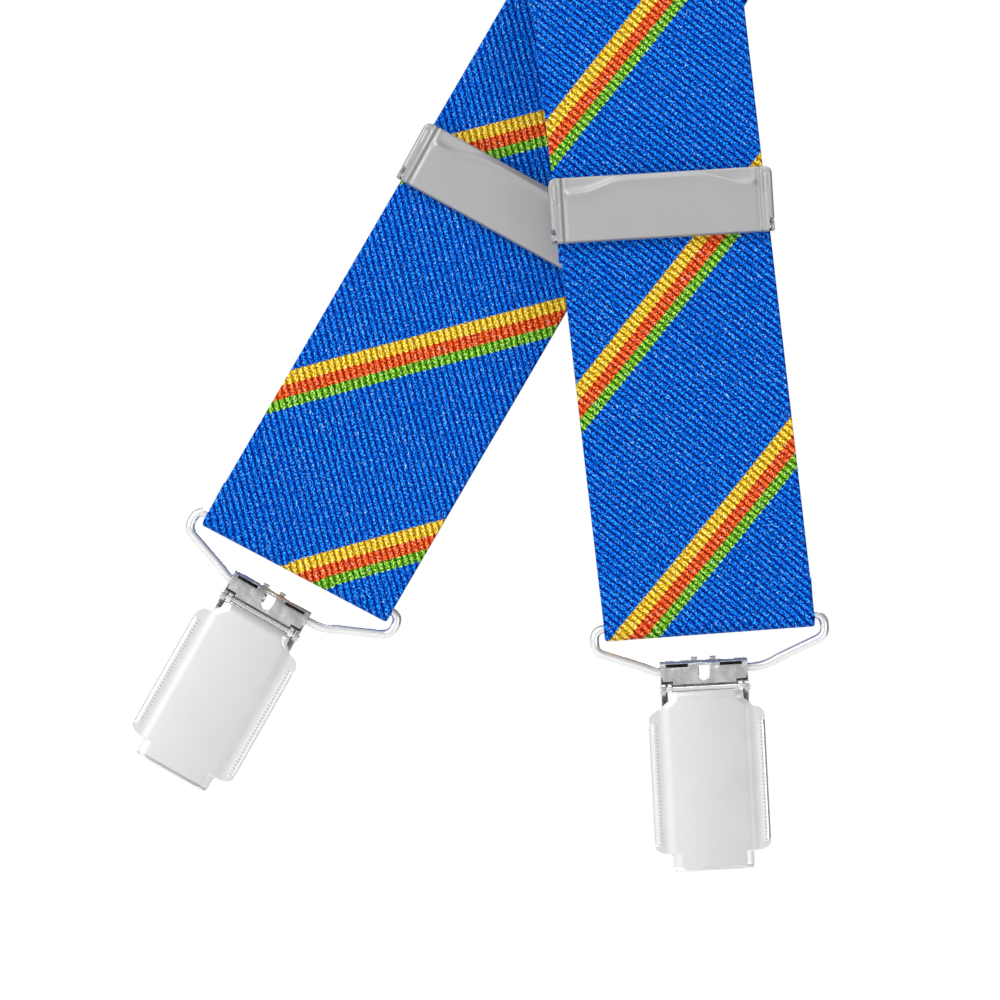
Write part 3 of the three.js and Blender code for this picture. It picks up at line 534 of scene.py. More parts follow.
def weave_material(name):
    """Diagonal rep: ribs that fall to the right, crossed by striped bands that rise to it."""
    g = Surface(name, specular_ior_level=0.03, sheen_weight=0.01, sheen_roughness=0.4)
    u, s = g.weave_place()
    root = math.sqrt(0.5)
    over_ribs = g.math("MULTIPLY", g.math("ADD", s, u), root)
    along_ribs = g.math("MULTIPLY", g.math("SUBTRACT", s, u), root)

    def scaled(along, over, layer=0.0):
        """The place on the cloth, stretched by its own scale along the ribs and over them."""
        along, over = g.math("MULTIPLY", along_ribs, along), g.math("MULTIPLY", over_ribs, over)
        return g.vector(along, over, layer)

    wobble = g.noise(scaled(500, 900), 1.0, 2.0)
    bent = g.math("ADD", over_ribs, g.math("MULTIPLY", g.math("SUBTRACT", wobble, 0.5), 0.16 * MM))
    phase = g.math("MULTIPLY", bent, math.pi / RIB_PITCH)
    crest = g.math("POWER", g.math("ABSOLUTE", g.math("SINE", phase)), 0.8)
    thread = g.noise(scaled(3000, 3600), 1.0, 3.0)
    # Noise that places painted glints on the rib crests.
    glint_noise = g.noise(scaled(2900, 3900, 3.7), 1.0, 1.0)
    # The tone is the threads' own random variation plus painted light that brightens the rib
    # crests.
    tone = g.math("ADD", g.math("MULTIPLY", thread, 3.8), g.math("MULTIPLY", crest, 0.75))
    tone = g.math("SUBTRACT", tone, 2.02)
    blue = g.ramp(
        tone, (0.05, linear(0, 26, 112)), (0.45, linear(0, 68, 178)),
        (0.75, linear(0, 108, 228)), (0.98, linear(40, 168, 252)),
    )
    repeat = STRIPE_REPEAT * root
    step = g.math("MULTIPLY", g.math("SUBTRACT", crest, 0.6), 0.3 * MM)
    place = g.math("ADD", along_ribs, step)
    turn = g.math("ROUND", g.math("DIVIDE", place, repeat))
    q = g.math("SUBTRACT", place, g.math("MULTIPLY", turn, repeat))
    yellow = g.ramp(
        tone, (0.05, linear(150, 104, 0)), (0.42, linear(206, 166, 22)),
        (0.75, linear(246, 208, 60)), (0.98, linear(255, 240, 130)),
    )
    orange = g.ramp(
        tone, (0.05, linear(140, 22, 0)), (0.42, linear(202, 62, 16)),
        (0.78, linear(240, 104, 46)), (0.99, linear(255, 160, 100)),
    )
    green = g.ramp(
        tone, (0.05, linear(30, 84, 0)), (0.42, linear(84, 146, 20)),
        (0.75, linear(132, 196, 58)), (0.98, linear(190, 240, 110)),
    )
    half = STRIPE_WIDTH / 2
    colour = blue
    for edge, band in (
        (-half - GREEN_WIDTH, green), (-half, orange),
        (half, yellow), (half + STRIPE_WIDTH, blue),
    ):
        colour = g.mix(g.math("GREATER_THAN", q, edge), colour, band)
    # Painted shade: the colour darkens in the rib grooves and brightens on the crests.
    colour = g.shaded(colour, g.grey(crest, 0.58, 1.06))
    # Painted highlight: sparse whitish-cyan glints on the rib crests.
    painted_glint = g.math("MULTIPLY", g.math("GREATER_THAN", glint_noise, 0.7), crest)
    colour = g.mix(g.math("MULTIPLY", painted_glint, 0.75), colour, linear(190, 232, 255))
    height = g.math("ADD", g.math("MULTIPLY", crest, 0.55), g.math("MULTIPLY", thread, 0.35))
    normal = g.bump(height, 0.2 * MM, 0.45)
    return g.set(base_color=colour, normal=normal, roughness=g.grey(thread, 0.5, 0.8))


def elastic_material():
    """Plain elastic webbing: fine lengthwise cords crossed by finer picks."""
    g = Surface("blue_elastic", roughness=0.7, specular_ior_level=0.12, sheen_weight=0.02)
    u, s = g.weave_place()
    cord = g.math("ABSOLUTE", g.math("SINE", g.math("MULTIPLY", u, math.pi / (1.25 * MM))))
    pick = g.math("ABSOLUTE", g.math("SINE", g.math("MULTIPLY", s, math.pi / (0.7 * MM))))
    thread = g.noise(g.vector(g.math("MULTIPLY", u, 2400), g.math("MULTIPLY", s, 3200)), 1.0, 3.0)
    # The tone is random thread variation plus painted light on the tops of the picks.
    tone = g.math("ADD", g.math("MULTIPLY", thread, 0.7), g.math("MULTIPLY", pick, 0.2))
    colour = g.ramp(
        tone, (0.2, linear(0, 34, 112)), (0.5, linear(10, 74, 170)), (0.85, linear(44, 122, 220)),
    )
    # Painted shade: darker in the grooves between the cords.
    colour = g.shaded(colour, g.grey(cord, 0.55, 1.0))
    height = g.math("ADD", g.math("MULTIPLY", cord, 0.7), g.math("MULTIPLY", pick, 0.3))
    return g.set(base_color=colour, normal=g.bump(height, 0.3 * MM, 0.8))


METAL_EDGE = 0.12 * MM  # radius that the shading gives a sharp edge


def metal_material(name, grey, roughness, mottle, dents=0.0):
    """Plated steel with faint mottling and softened edges. dents is how deep pressing marks go."""
    g = Surface(name, metallic=0.8, specular_ior_level=0.5)
    place = g.object_place()
    cloud = g.noise(place, 160.0, 3.0)
    fine = g.noise(place, 2600.0, 2.0)
    dark = grey * (1 - mottle)
    tint = g.mix(cloud, (dark, dark, dark, 1), (grey, grey, grey, 1))
    bevel = g.tree.nodes.new("ShaderNodeBevel")
    bevel.samples = 6
    bevel.inputs["Radius"].default_value = METAL_EDGE
    normal = g.bump(fine, 0.004 * MM, 0.5, bevel.outputs[0])
    if dents:
        normal = g.bump(g.noise(place, 420.0, 1.5), dents, 1.0, normal)
    rough = g.grey(cloud, roughness * 0.8, roughness * 1.25)
    return g.set(base_color=tint, roughness=rough, normal=normal)


def leather_material():
    """Black leather with a creased grain."""
    g = Surface("black_leather", specular_ior_level=0.45)
    place = g.object_place()
    cell = g.tree.nodes.new("ShaderNodeTexVoronoi")
    cell.feature = "DISTANCE_TO_EDGE"
    cell.inputs["Scale"].default_value = 900.0
    g.tree.links.new(place, cell.inputs["Vector"])
    crease = g.math("MINIMUM", g.math("MULTIPLY", cell.outputs[0], 5.0), 1.0)
    cloud = g.noise(place, 120.0, 4.0)
    colour = g.mix(cloud, linear(14, 14, 16), linear(44, 43, 46))
    height = g.math("ADD", g.math("MULTIPLY", crease, 0.7), g.math("MULTIPLY", cloud, 0.4))
    rough = g.grey(cloud, 0.38, 0.6)
    return g.set(base_color=colour, roughness=rough, normal=g.bump(height, 0.12 * MM, 0.7))


def plain_material(name, dark, light, roughness, scale, bump):
    """Moulded plastic or thread: slight colour change and a fine surface."""
    g = Surface(name)
    place = g.object_place()
    cloud = g.noise(place, scale, 3.0)
    return g.set(
        base_color=g.mix(cloud, dark, light),
        roughness=g.grey(cloud, roughness * 0.85, roughness * 1.15),
        normal=g.bump(cloud, bump, 0.6),
    )


def painted(made, material):
    """The object with this as its only material."""
    made.data.materials.clear()
    made.data.materials.append(material)
    return made


striped = weave_material("striped_rep")
elastic = elastic_material()
nickel = metal_material("bright_nickel", 0.77, 0.24, 0.03)
# Painted shade: a darker copy of the bright nickel for the clip bodies, standing in for the shade
# of their concave pressed sheet; its dents are only a bump.
shaded_nickel = metal_material("shaded_nickel", 0.53, 0.26, 0.08, dents=0.35 * MM)
satin = metal_material("satin_nickel", 0.39, 0.5, 0.03)
leather = leather_material()
nylon = plain_material(
    "nylon", linear(205, 204, 198), linear(228, 227, 222), 0.45, 300.0, 0.02 * MM,
)
thread_blue = plain_material(
    "blue_thread", linear(10, 50, 130), linear(40, 100, 200), 0.6, 2500.0, 0.05 * MM,
)
thread_dark = plain_material(
    "dark_thread", linear(92, 92, 96), linear(140, 140, 146), 0.6, 2500.0, 0.05 * MM,
)

# --------------------------------------------------------------------------------------- the straps


def front_strap(name):
    """One webbing from behind its fold, round the wire and over the shoulder to the patch."""
    side = SIDE[name]
    line = front_strap_line(name)
    total = length_of(line)
    fine, fine_reach = resampled(line, np.arange(0, NEAR, FINE_STEP))
    coarse, coarse_reach = resampled(line, np.linspace(fine_reach[-1], total, COARSE_ROWS))
    stretches = []
    for points, reach, columns in (
        (fine, fine_reach, FINE_COLUMNS), (coarse, coarse_reach, COARSE_COLUMNS),
    ):
        tangent, axis, normal = frames_along(points)
        shear = math.tan(FOLD_SKEW) * np.clip(1 - reach / SKEW_LENGTH, 0, 1)
        axis = axis - side * shear[:, None] * tangent
        stretches.append([points, axis, normal, reach, columns])
    angle = CROSS_ANGLE - FOLD_SKEW
    down = np.array([side * math.sin(angle), 0, -math.cos(angle)])
    fold = [np.array(part) for part in zip(*fold_arc(line[0], down))]
    steps = np.linalg.norm(np.diff(fold[0], axis=0), axis=1)
    fold.append(-np.concatenate([np.cumsum(steps[::-1])[::-1], [0]]))
    near, far = stretches
    near = [np.concatenate([fold[k][:-1], near[k]]) for k in range(4)] + [FINE_COLUMNS]
    made = webbing(f"{name}_strap_webbing", [near, far], STRIPE_PHASE[name], RIB_RELIEF)
    painted(made, striped)
    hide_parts(f"{name}_strap", f"{name}_strap_shoulder", f"{name}_strap_back")
    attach(made, "straps")


def strap_frame(name):
    """Right-handed frame at the fold: X across the strap, Y backwards, Z up the strap."""
    side = SIDE[name]
    z = Vector((-side * math.sin(CROSS_ANGLE), 0, math.cos(CROSS_ANGLE)))
    y = Vector((0, 1, 0))
    m = Matrix((y.cross(z), y, z)).transposed().to_4x4()
    m.translation = Vector((
        side * TAIL[name] * math.sin(CROSS_ANGLE), -FRONT_DEPTH[name],
        CROSS_Z - TAIL[name] * math.cos(CROSS_ANGLE),
    ))
    return m


def adjuster_frame(name):
    """The same for the adjuster, which is turned a little towards plumb."""
    turn = Matrix.Rotation(SIDE[name] * ADJUSTER_SKEW[name], 4, "Y")
    return strap_frame(name) @ Matrix.Translation((0, 0, ADJUSTER_RISE)) @ turn


# Sizes of the sewn end and what it goes round, in millimetres, in the adjuster's frame.
HALF_THICK = STRAP_THICK / MM / 2
GAP = CLEAR / MM
TURN_CLEAR = 0.15
ADJUSTER_HALF_HEIGHT = 5.6
BITE_BAR_FOOT = 0.5  # above the adjuster's lower edge
BITE_BAR_HEIGHT = 1.8
SEWN_BAR_RADIUS = 0.6
SEWN_BAR_Z = ADJUSTER_HALF_HEIGHT - SEWN_BAR_RADIUS - TURN_CLEAR - 2 * HALF_THICK
SEWN_RADIUS = SEWN_BAR_RADIUS + TURN_CLEAR + HALF_THICK
SEWN_BAR_DEPTH = 2 * HALF_THICK + GAP + SEWN_RADIUS
SEWN_DEPTH = SEWN_BAR_DEPTH + SEWN_RADIUS
END_GAP = 0.1  # between the return layer and the sewn end


def ribbon_from(points, matrix, name, phase, columns=40, slope=0.0):
    """Webbing along points given in a hardware frame's YZ plane, in millimetres. slope is how far
    each row runs down towards the frame's X, for each unit across."""
    m = np.array(matrix)
    line = placed(matrix, [[0, y, z] for y, z in points])
    gaps = np.linalg.norm(np.diff(line, axis=0), axis=1)
    reach = np.concatenate([[0], np.cumsum(gaps)])
    tangent = np.gradient(line, axis=0)
    tangent /= np.linalg.norm(tangent, axis=1)[:, None]
    axis = np.tile(m[:3, 0], (len(line), 1))
    normal = np.cross(axis, tangent)
    axis = axis - np.reshape(slope, (-1, 1)) * m[:3, 2]
    return webbing(name, [[line, axis, normal, reach, columns]], phase)


def return_and_end(name):
    """The layer behind a front strap, up to the adjuster, and the end sewn round its bar."""
    matrix = strap_frame(name)
    side = SIDE[name]
    top = ADJUSTER_RISE / MM + SEWN_BAR_Z - SEWN_TAIL / MM - END_GAP
    bottom = FOLD_TAIL / MM + END_GAP / 2
    depth = 2 * BAR_DEPTH / MM
    share = np.linspace(1, 0, 200)
    run = [(depth + (SEWN_DEPTH - depth) * t, bottom + (top - bottom) * t) for t in share]
    slope = side * (math.tan(FOLD_SKEW) * (1 - share) + math.tan(ADJUSTER_SKEW[name]) * share)
    phase = length_of(run) * MM + FOLD_LENGTH + STRIPE_PHASE[name]
    layer = painted(ribbon_from(run, matrix, f"{name}_return_webbing", phase, 60, slope), striped)
    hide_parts(f"{name}_strap_return")
    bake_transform(layer)
    matrix = adjuster_frame(name)
    front_end = BITE_BAR_FOOT + BITE_BAR_HEIGHT + 2 * GAP - ADJUSTER_HALF_HEIGHT
    turn = [
        (SEWN_BAR_DEPTH - SEWN_RADIUS * math.cos(a), SEWN_BAR_Z + SEWN_RADIUS * math.sin(a))
        for a in np.linspace(0, math.pi, FOLD_ROWS)
    ]
    down = [(SEWN_DEPTH, z) for z in np.linspace(SEWN_BAR_Z, SEWN_BAR_Z - SEWN_TAIL / MM, 12)[1:]]
    loop = [(turn[0][0], front_end), (turn[0][0], front_end + 2), *turn, *down]
    phase += length_of(loop) * MM
    sewn = painted(ribbon_from(loop, matrix, f"{name}_sewn_end", phase), striped)
    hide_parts(f"{name}_strap_end")
    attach(sewn, f"{name}_adjuster")
    tack = []
    pitch, rise, stitches_in_row, row_start = 0.72, 0.7, 44, -15.6
    surface = SEWN_DEPTH + HALF_THICK
    low, high = surface + 0.02, surface + 0.18
    for z in (SEWN_BAR_Z - 5.2, SEWN_BAR_Z - 7.4):
        for k in range(stitches_in_row):
            x = row_start + k * pitch
            tack.append([(x, low, z - rise), (x + pitch / 2, high, z), (x + pitch, low, z + rise)])
    stitches = joined_tubes(f"{name}_bar_tack", [placed(matrix, t) for t in tack], 0.17 * MM, 6)
    painted(stitches, thread_blue)
    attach(stitches, f"{name}_adjuster")


def back_strap():
    """The elastic strap with its hem folded round the back wire loop."""
    top_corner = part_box("back_strap")[1]
    fold = Vector(joints["back_loop_swing"]["pos_m"])
    depth = SHOULDER_DEPTH
    line = [(depth, z) for z in np.linspace(top_corner.z, fold.z, 120)[:-1]]
    line += [
        (depth - BAR_DEPTH * (1 - math.cos(a)), fold.z - BAR_DEPTH * math.sin(a))
        for a in np.linspace(0, math.pi, FOLD_ROWS)
    ]
    line += [(depth - 2 * BAR_DEPTH, z) for z in np.linspace(fold.z, fold.z + BACK_HEM, 24)[1:]]
    points = [(y / MM, z / MM) for y, z in line]
    made = painted(ribbon_from(points, Matrix.Identity(4), "back_elastic", 0.0, 60), elastic)
    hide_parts("back_strap")
    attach(made, "straps")
    seam = []
    y = depth / MM + HALF_THICK + 0.02
    seam_half, seam_height, pitch = 14.5, 17, 2.4
    top = (fold.z + BACK_HEM) / MM - 3
    foot = top - seam_height
    corners = [(-seam_half, top), (seam_half, top), (seam_half, foot), (-seam_half, foot)]
    for (x0, z0), (x1, z1) in zip(corners, corners[1:] + corners[:1]):
        count = int(math.hypot(x1 - x0, z1 - z0) / pitch)
        for k in range(count):
            shares = np.array([k + 0.1, k + 0.48, k + 0.86]) / count
            seam.append([
                (x0 + (x1 - x0) * t, y + proud, z0 + (z1 - z0) * t)
                for t, proud in zip(shares, (-0.1, 0.12, -0.1))
            ])
    stitches = joined_tubes("hem_stitches", [np.array(t) * MM for t in seam], 0.2 * MM, 6)
    painted(stitches, thread_blue)
    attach(stitches, "straps")


def face_outline(node, sign):
    """The ordered edge of a flat node's front or back face as (x, z) points, and its depth."""
    mesh = nodes[node].data
    co = np.array([v.co for v in mesh.vertices])
    depth = co[:, 1].max() if sign > 0 else co[:, 1].min()
    on_face = np.flatnonzero(np.abs(co[:, 1] - depth) < 1e-6)
    key = {i: tuple(np.round(co[i, [0, 2]], 6)) for i in on_face}
    count = {}
    for polygon in mesh.polygons:
        ids = list(polygon.vertices)
        if all(i in key for i in ids):
            for a, b in zip(ids, ids[1:] + ids[:1]):
                edge = (key[a], key[b])
                if edge[::-1] in count:
                    del count[edge[::-1]]
                else:
                    count[edge] = True
    following = dict(count.keys())
    start = min(following)
    loop = [start]
    while following[loop[-1]] != start:
        loop.append(following[loop[-1]])
    return np.array(loop), depth


def patch(node, sign):
    """One leather layer with its seam. sign is 1 for the layer that faces back."""
    made = painted(rounded_copy(node, 0.45 * MM, 3), leather)
    loop, depth = face_outline(node, sign)
    ring = np.concatenate([loop, loop[:1]])
    dense = resampled(np.stack([ring[:, 0], np.zeros(len(ring)), ring[:, 1]], 1), 0.4 * MM)[0]
    flat = dense[:, [0, 2]]
    tangent = np.roll(flat, -3, axis=0) - np.roll(flat, 3, axis=0)
    tangent /= np.linalg.norm(tangent, axis=1)[:, None]
    area = np.sum(flat[:, 0] * np.roll(flat[:, 1], -1) - np.roll(flat[:, 0], -1) * flat[:, 1])
    inward = np.stack([-tangent[:, 1], tangent[:, 0]], 1) * np.sign(area)
    margin = 2.2 * MM
    seam = flat + inward * margin
    keep = [p for p in seam if np.min(np.linalg.norm(flat - p, axis=1)) > margin - 0.1 * MM]
    seam3 = np.array([[p[0], 0, p[1]] for p in keep + keep[:1]])
    pitch = 2.8 * MM
    total = length_of(seam3)
    count = int(total / pitch)
    tubes = []
    for k in range(count):
        reach = np.array([k + 0.12, k + 0.48, k + 0.84]) * total / count
        p = resampled(seam3, reach)[0]
        p[:, 1] = depth + sign * np.array([-0.12, 0.14, -0.12]) * MM
        if np.linalg.norm(p[2] - p[0]) > 1.2 * MM:
            tubes.append(p)
    stitches = painted(joined_tubes(f"{node}_stitches", tubes, 0.2 * MM, 6), thread_dark)
    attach(stitches, "straps")


# ------------------------------------------------------------------------------------ the hardware


def flap_piece(name):
    """The adjuster's pressed front plate: a waved ridge, a lip above it and rolled end columns.
    Sizes are in millimetres, and depth grows towards the strap."""
    half, top, foot = 18.55, 5.6, -5.3
    inner, front = 16.25, -3.05  # where the end columns begin, and the plate's face
    pin_depth, pin_height, roll_radius = -2.0, -4.25, 0.98
    xs = np.linspace(-half, half, 260)
    zs = np.concatenate([np.linspace(foot, foot + 1.0, 14)[:-1], np.linspace(foot + 1.0, top, 90)])
    x, z = np.meshgrid(xs, zs)
    side = np.abs(x)

    # The finger ridge dips towards the middle, and the face above it is set back a little.
    wave = top - 0.95 - 1.85 * (1 - smooth((1 - side / inner - 0.15) / 0.5))
    depth = np.full_like(x, front)
    within = smooth((inner - side) / 1.2)
    ridge = np.exp(-(((z - wave) / 0.7) ** 2))
    above = smooth((z - wave) / 0.9)
    depth -= within * (0.36 * ridge - 0.12 * above)

    # The end columns stand proud, with two grooves and an arch at the top of each.
    column = smooth((side - inner + 0.1) / 0.7)
    depth -= column * 0.36
    for place, deep in ((-0.05, 0.16), (0.85, 0.08)):
        depth += deep * np.exp(-(((side - inner - place) / 0.3) ** 2))
    arch = np.hypot((side - inner - 1.25) / 0.42, np.clip(z - (top - 1.9), 0, None) / 0.9)
    depth += 0.12 * np.exp(-(((arch - 1) / 0.28) ** 2)) * (z > top - 4.5)

    # The ends, the top and the foot are rounded back.
    edge = np.clip((side - half + 0.5) / 0.5, 0, 1)
    depth += 0.5 * (1 - np.sqrt(np.clip(1 - edge**2, 0, 1)))
    lip = np.clip((z - top + 0.35) / 0.35, 0, 1)
    depth += 0.3 * (1 - np.sqrt(np.clip(1 - lip**2, 0, 1)))
    roll = np.clip((foot + 0.55 - z) / 0.55, 0, 1)
    depth += 1.05 * (1 - np.sqrt(np.clip(1 - roll**2, 0, 1)))
    corner = 1.3
    over = np.clip(side - (half - corner), 0, None)
    drop = corner - np.sqrt(np.clip(corner**2 - over**2, 0, None))
    z = np.where(z > top - 2.2, z - drop * smooth((z - top + 2.2) / 2.2), z)

    # The ends stop above the frame's ears, which the plate turns between.
    ear_top = -3.2
    raised = foot + (ear_top - foot) * smooth((side - 17.65) / 0.2)
    z = top + (z - top) * (top - raised) / (top - foot)

    matrix = adjuster_frame(name)
    points, faces = pressed_sheet(np.stack([x, depth, z], -1), 0.55)
    roll_path = [(place, pin_depth, pin_height) for place in (-17.4, 0, 17.4)]
    roll_points, roll_faces = tube(roll_path, roll_radius, 28)
    faces = faces + [tuple(i + len(points) for i in f) for f in roll_faces]
    points = np.concatenate([points, roll_points])
    made = finished_normals(mesh_object(f"{name}_flap_plate", placed(matrix, points), faces))
    smooth_angle(made, math.radians(40))
    painted(made, satin)
    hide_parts(f"{name}_adjuster_flap")
    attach(made, f"{name}_flap")


def wire_piece(name, matrix):
    """The bent wire loop, in its hinge frame, in millimetres: its top bar lies on the frame's X."""
    side, corner, foot, drop = 19.15, 1.9, 8.85, -8.0
    right = bend((side - corner, 0), (side, 0), (side, -corner), 10)
    right += bend((side, -2.3), (side, -3.6), (side - 1.25, -4.15), 10)
    right += bend((foot + 2.2, -6.85), (foot + 0.2, drop), (foot - 2.0, drop), 12)
    right += [(2.2, drop)]
    left = [(-x, z) for x, z in reversed(right)]
    path = [(x, 0, z) for x, z in left + right]
    dense = resampled(np.array(path, float), 0.35)[0]
    made = joined_tubes(f"{name}_wire", [placed(matrix, dense)], 0.75 * MM, 24)
    painted(made, nickel)
    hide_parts(f"{name}_wire_loop")
    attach(made, f"{name}_loop")


def bend(a, b, c, count):
    """A quadratic curve from a to c, drawn towards b."""
    return [
        tuple((1 - t) ** 2 * p + 2 * t * (1 - t) * q + t * t * r for p, q, r in zip(a, b, c))
        for t in np.linspace(0, 1, count)
    ]


PIN_FORWARD = 1.8  # how far a clip's pin lies in front of its wire loop, in millimetres
PIN_DOWN = 11.0  # and how far below the loop's top bar


def lever_piece(name, matrix):
    """The pressed lever plate: a crowned panel, beaded margins that turn back as flanges, and a
    tongue. Sizes are in millimetres, and Y grows towards the strap's back."""
    pin, tip, front = -PIN_DOWN, -41.1, -3.0
    tongue, neck_foot = tip + 3.6, pin - 1.6
    shoulder = neck_foot - 3.2
    neck, panel, half, tongue_half = 6.25, 7.35, 9.6, 6.7  # half widths
    flange, bend_radius = 3.0, 0.55
    panel_step, crown, bead_height, lip_step, top_curl = 0.11, 0.26, 0.07, 0.22, 0.9

    def edge_at(z):
        """Half the plate's width at a height."""
        if z > neck_foot:
            return neck
        if z > shoulder + 1.6:
            t = (neck_foot - z) / (neck_foot - shoulder - 1.6)
            return neck + (panel + 0.2 - neck) * float(smooth(t))
        if z > shoulder - 0.2:
            t = (shoulder + 1.6 - z) / 1.8
            return panel + 0.2 + (half - panel - 0.2) * math.sqrt(max(0.0, 1 - (1 - t) ** 2))
        if z > tongue + 0.6:
            return half
        if z > tongue - 0.7:
            t = (tongue + 0.6 - z) / 1.3
            return tongue_half + (half - tongue_half) * math.sqrt(max(0.0, 1 - t * t))
        if z > tip + 1.0:
            return tongue_half
        t = min(1.0, (tip + 1.0 - z) / 1.0)
        return tongue_half - 1.0 * (1 - math.sqrt(max(0.0, 1 - t * t)))

    zs = np.unique(np.concatenate([
        np.linspace(pin - 0.3, shoulder - 0.6, 60),
        np.linspace(shoulder - 0.6, tongue + 1.0, 190),
        np.linspace(tongue + 1.0, tip, 60),
    ]))[::-1]
    rows = []
    for z in zs:
        # Each row runs across the face and back round both flanges.
        width = edge_at(z)
        turn = flange * min(
            float(smooth((shoulder - 0.7 - z) / 1.4)), float(smooth((z - tongue - 0.9) / 1.4)),
        )
        reach = np.linspace(-1, 1, 161) * (width + turn)
        side = np.abs(reach)
        x = np.where(side < width, side, width)
        y = np.full_like(x, front)
        if turn > 0:
            bend_start = width - bend_radius
            into = np.clip(side - bend_start, 0, None)
            angle = np.clip(into / bend_radius, 0, math.pi / 2)
            straight = np.clip(into - bend_radius * math.pi / 2, 0, None)
            x = np.where(side > bend_start, bend_start + bend_radius * np.sin(angle), side)
            y = front + bend_radius * (1 - np.cos(angle)) + straight
        # The panel is stepped forwards and crowned, with a ribbed bead outside it.
        level = smooth((min(panel, width - 0.35) + 0.5 - side) / 1.7)
        crowning = 1 - (np.clip(side, 0, panel) / panel) ** 2
        y = y - panel_step * level - crown * level * crowning
        bead_place = half - 0.85
        inside = smooth((shoulder - 0.3 - z) / 0.8) * smooth((z - tongue - 0.5) / 0.8)
        bead = np.clip(1 - ((side - bead_place) / 0.5) ** 2, 0, 1) ** 2
        ribbing = 0.6 + 0.4 * math.cos(2 * math.pi * z / 0.6)
        y = y - bead_height * bead * inside * ribbing
        # The tongue's end steps forwards, and the top curls back to the pin.
        y = y - lip_step * float(smooth((tip + 0.6 - z) / 0.4))
        y = y + top_curl * (1 - math.sqrt(1 - min(1, max(0, (z - pin + 1.8) / 1.8)) ** 2))
        rows.append(np.stack([np.sign(reach) * x, y, np.full_like(x, z)], -1))
    points, faces = pressed_sheet(np.array(rows), 0.5)
    for start in (5.55, -6.25):
        knuckle_path = [(start + step, -PIN_FORWARD, pin) for step in (0, 0.35, 0.7)]
        knuckle, knuckle_faces = tube(knuckle_path, 1.08, 28)
        faces = faces + [tuple(i + len(points) for i in f) for f in knuckle_faces]
        points = np.concatenate([points, knuckle])
    made = finished_normals(mesh_object(f"{name}_lever_plate", placed(matrix, points), faces))
    smooth_angle(made, math.radians(42))
    painted(made, nickel)
    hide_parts(f"{name}_clip_lever")
    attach(made, f"{name}_lever")


for name in SIDE:
    front_strap(name)
    return_and_end(name)
    flap_piece(name)
    painted(rounded_copy(f"{name}_adjuster_frame", 0.12 * MM), satin)
    painted(rounded_copy(f"{name}_adjuster_pin", 0.08 * MM), nickel)
back_strap()
patch("patch_outer", 1)
patch("patch_inner", -1)
from_pin = Matrix.Translation((0, PIN_FORWARD * MM, PIN_DOWN * MM))
for name in ("right", "left", "back"):
    wire_piece(name, hinge_frame(f"{name}_loop_swing"))
    lever_piece(name, hinge_frame(f"{name}_lever_open") @ from_pin)
    painted(rounded_copy(f"{name}_clip_body", 0.14 * MM), shaded_nickel)
    painted(rounded_copy(f"{name}_clip_pin", 0.08 * MM), nickel)
    painted(rounded_copy(f"{name}_jaw_pad", 0.1 * MM), nylon)

# ----------------------------------------------------------------------- floor, light and camera

VIEW_ROLL = math.radians(11.8)
VIEW_WIDTH = 166.7 * MM
VIEW_DISTANCE = 1.5
CROSSING_RIGHT = 22.5 * MM  # from the picture's middle to the straps' crossing
CROSSING_UP = 85.8 * MM
FLOOR_DROP = 0.45
FLOOR_RADIUS = 2.6
SUN_POWER = 1.7
SUN_ANGLE = math.radians(30)


def studio_floor():
    """A round pale floor under the hanging object."""
    level = cad_box[0].z - FLOOR_DROP
    turns = np.linspace(0, 2 * math.pi, 96, endpoint=False)
    ring = [(FLOOR_RADIUS * math.cos(a), FLOOR_RADIUS * math.sin(a), level) for a in turns]
    floor = mesh_object("studio_floor", ring, [tuple(range(len(ring)))])
    pale = plain_material("pale_floor", (0.8, 0.8, 0.8, 1), (0.83, 0.83, 0.83, 1), 0.8, 3.0, 0.0)
    painted(floor, pale)


def ranged(tree, value, source, target, kind="LINEAR"):
    """A value moved from one range to another, and held at its ends."""
    node = tree.nodes.new("ShaderNodeMapRange")
    node.interpolation_type = kind
    tree.links.new(value, node.inputs[0])
    for socket, number in zip(("From Min", "From Max", "To Min", "To Max"), source + target):
        node.inputs[socket].default_value = number
    return node.outputs[0]


def combined(tree, operation, first, second):
    node = tree.nodes.new("ShaderNodeMath")
    node.operation = operation
    tree.links.new(first, node.inputs[0])
    tree.links.new(second, node.inputs[1])
    return node.outputs[0]


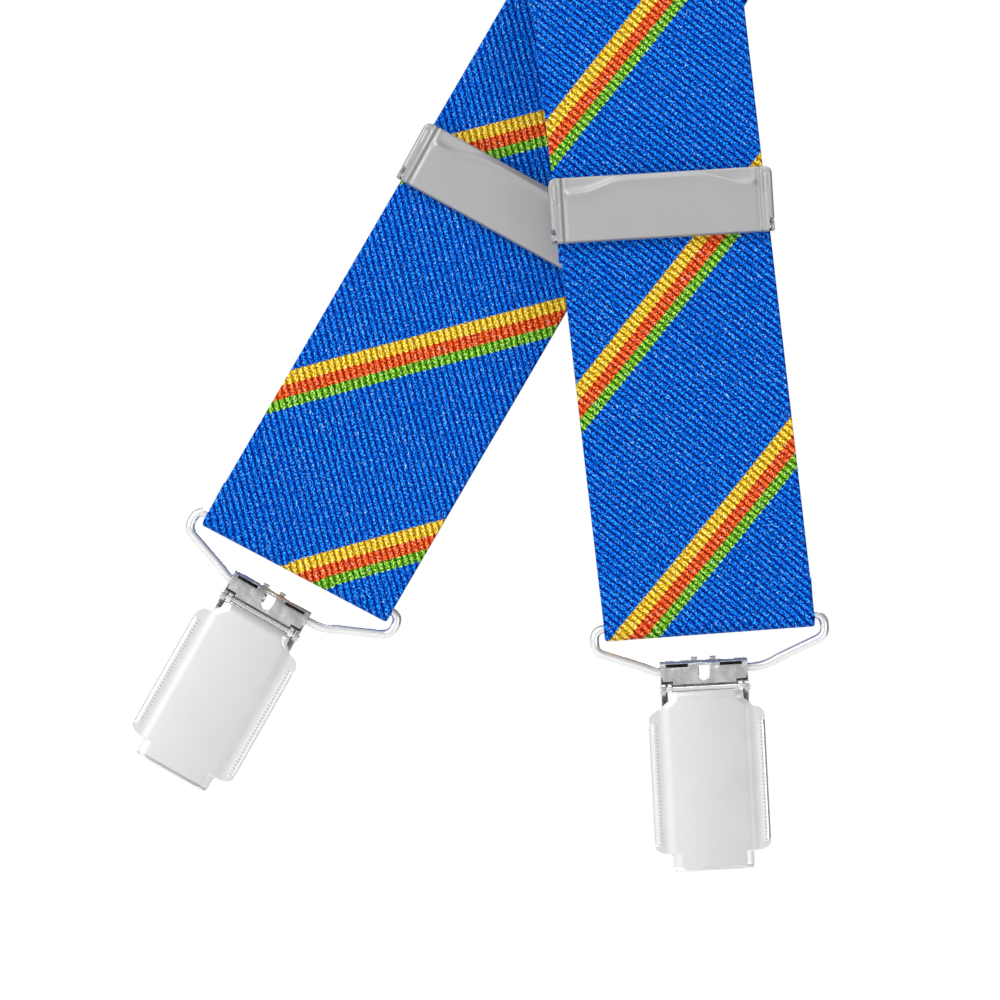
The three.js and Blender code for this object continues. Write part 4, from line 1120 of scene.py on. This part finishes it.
def studio_light():
    """A white surround that the camera sees, light that falls off to one side, and lamps."""
    world = bpy.data.worlds.new("studio")
    bpy.context.scene.world = world
    world.use_nodes = True
    tree = world.node_tree
    tree.nodes.clear()
    output = tree.nodes.new("ShaderNodeOutputWorld")
    seen = tree.nodes.new("ShaderNodeBackground")
    seen.inputs[0].default_value = (1, 1, 1, 1)
    lit = tree.nodes.new("ShaderNodeBackground")
    place = tree.nodes.new("ShaderNodeTexCoord")
    slope = tree.nodes.new("ShaderNodeVectorMath")
    slope.operation = "DOT_PRODUCT"
    tree.links.new(place.outputs["Generated"], slope.inputs[0])
    slope.inputs[1].default_value = (-0.75, 0.0, -0.45)
    shade = ranged(tree, slope.outputs["Value"], (-0.7, 0.5), (0.35, 1.15))
    step = ranged(tree, slope.outputs["Value"], (-0.16, 0.16), (-0.12, 0.16), "SMOOTHSTEP")
    axes = tree.nodes.new("ShaderNodeSeparateXYZ")
    tree.links.new(place.outputs["Generated"], axes.inputs[0])
    behind = ranged(tree, axes.outputs["Y"], (-0.3, 0.5), (1.0, 0.45))
    total = combined(tree, "ADD", shade, step)
    tree.links.new(combined(tree, "MULTIPLY", total, behind), lit.inputs[1])
    lit.inputs[0].default_value = (1, 1, 1, 1)
    path = tree.nodes.new("ShaderNodeLightPath")
    mix = tree.nodes.new("ShaderNodeMixShader")
    tree.links.new(path.outputs["Is Camera Ray"], mix.inputs[0])
    tree.links.new(lit.outputs[0], mix.inputs[1])
    tree.links.new(seen.outputs[0], mix.inputs[2])
    tree.links.new(mix.outputs[0], output.inputs[0])
    middle = (cad_box[0] + cad_box[1]) / 2
    for label, offset, size, power in (
        ("key", Vector((-0.9, -1.3, 0.5)), 0.7, 14),
        ("fill", Vector((1.1, -1.2, -0.2)), 0.9, 5),
        ("back", Vector((0.3, 1.6, 0.6)), 0.9, 14),
    ):
        data = bpy.data.lights.new(label, "AREA")
        data.size = size
        data.energy = power
        lamp = bpy.data.objects.new(label, data)
        bpy.context.scene.collection.objects.link(lamp)
        lamp.location = middle + offset
        lamp.rotation_euler = (-offset).to_track_quat("-Z", "Y").to_euler()
    data = bpy.data.lights.new("overhead", "SUN")
    data.energy = SUN_POWER
    data.angle = SUN_ANGLE
    bpy.context.scene.collection.objects.link(bpy.data.objects.new("overhead", data))


def camera():
    """A long lens straight at the front, with the picture's roll and framing."""
    right = Vector((math.cos(VIEW_ROLL), 0, math.sin(VIEW_ROLL)))
    up = Vector((-math.sin(VIEW_ROLL), 0, math.cos(VIEW_ROLL)))
    back = Vector((0, -1, 0))
    depth = -sum(FRONT_DEPTH.values()) / 2
    target = Vector((0, depth, CROSS_Z)) - right * CROSSING_RIGHT - up * CROSSING_UP
    data = bpy.data.cameras.new("camera")
    data.sensor_width = 36
    data.lens = data.sensor_width * VIEW_DISTANCE / VIEW_WIDTH
    made = bpy.data.objects.new("camera", data)
    bpy.context.scene.collection.objects.link(made)
    made.matrix_world = Matrix((right, up, back)).transposed().to_4x4()
    made.location = target + back * VIEW_DISTANCE
    bpy.context.scene.camera = made


studio_floor()
studio_light()
camera()
bpy.context.scene.view_settings.view_transform = "Standard"
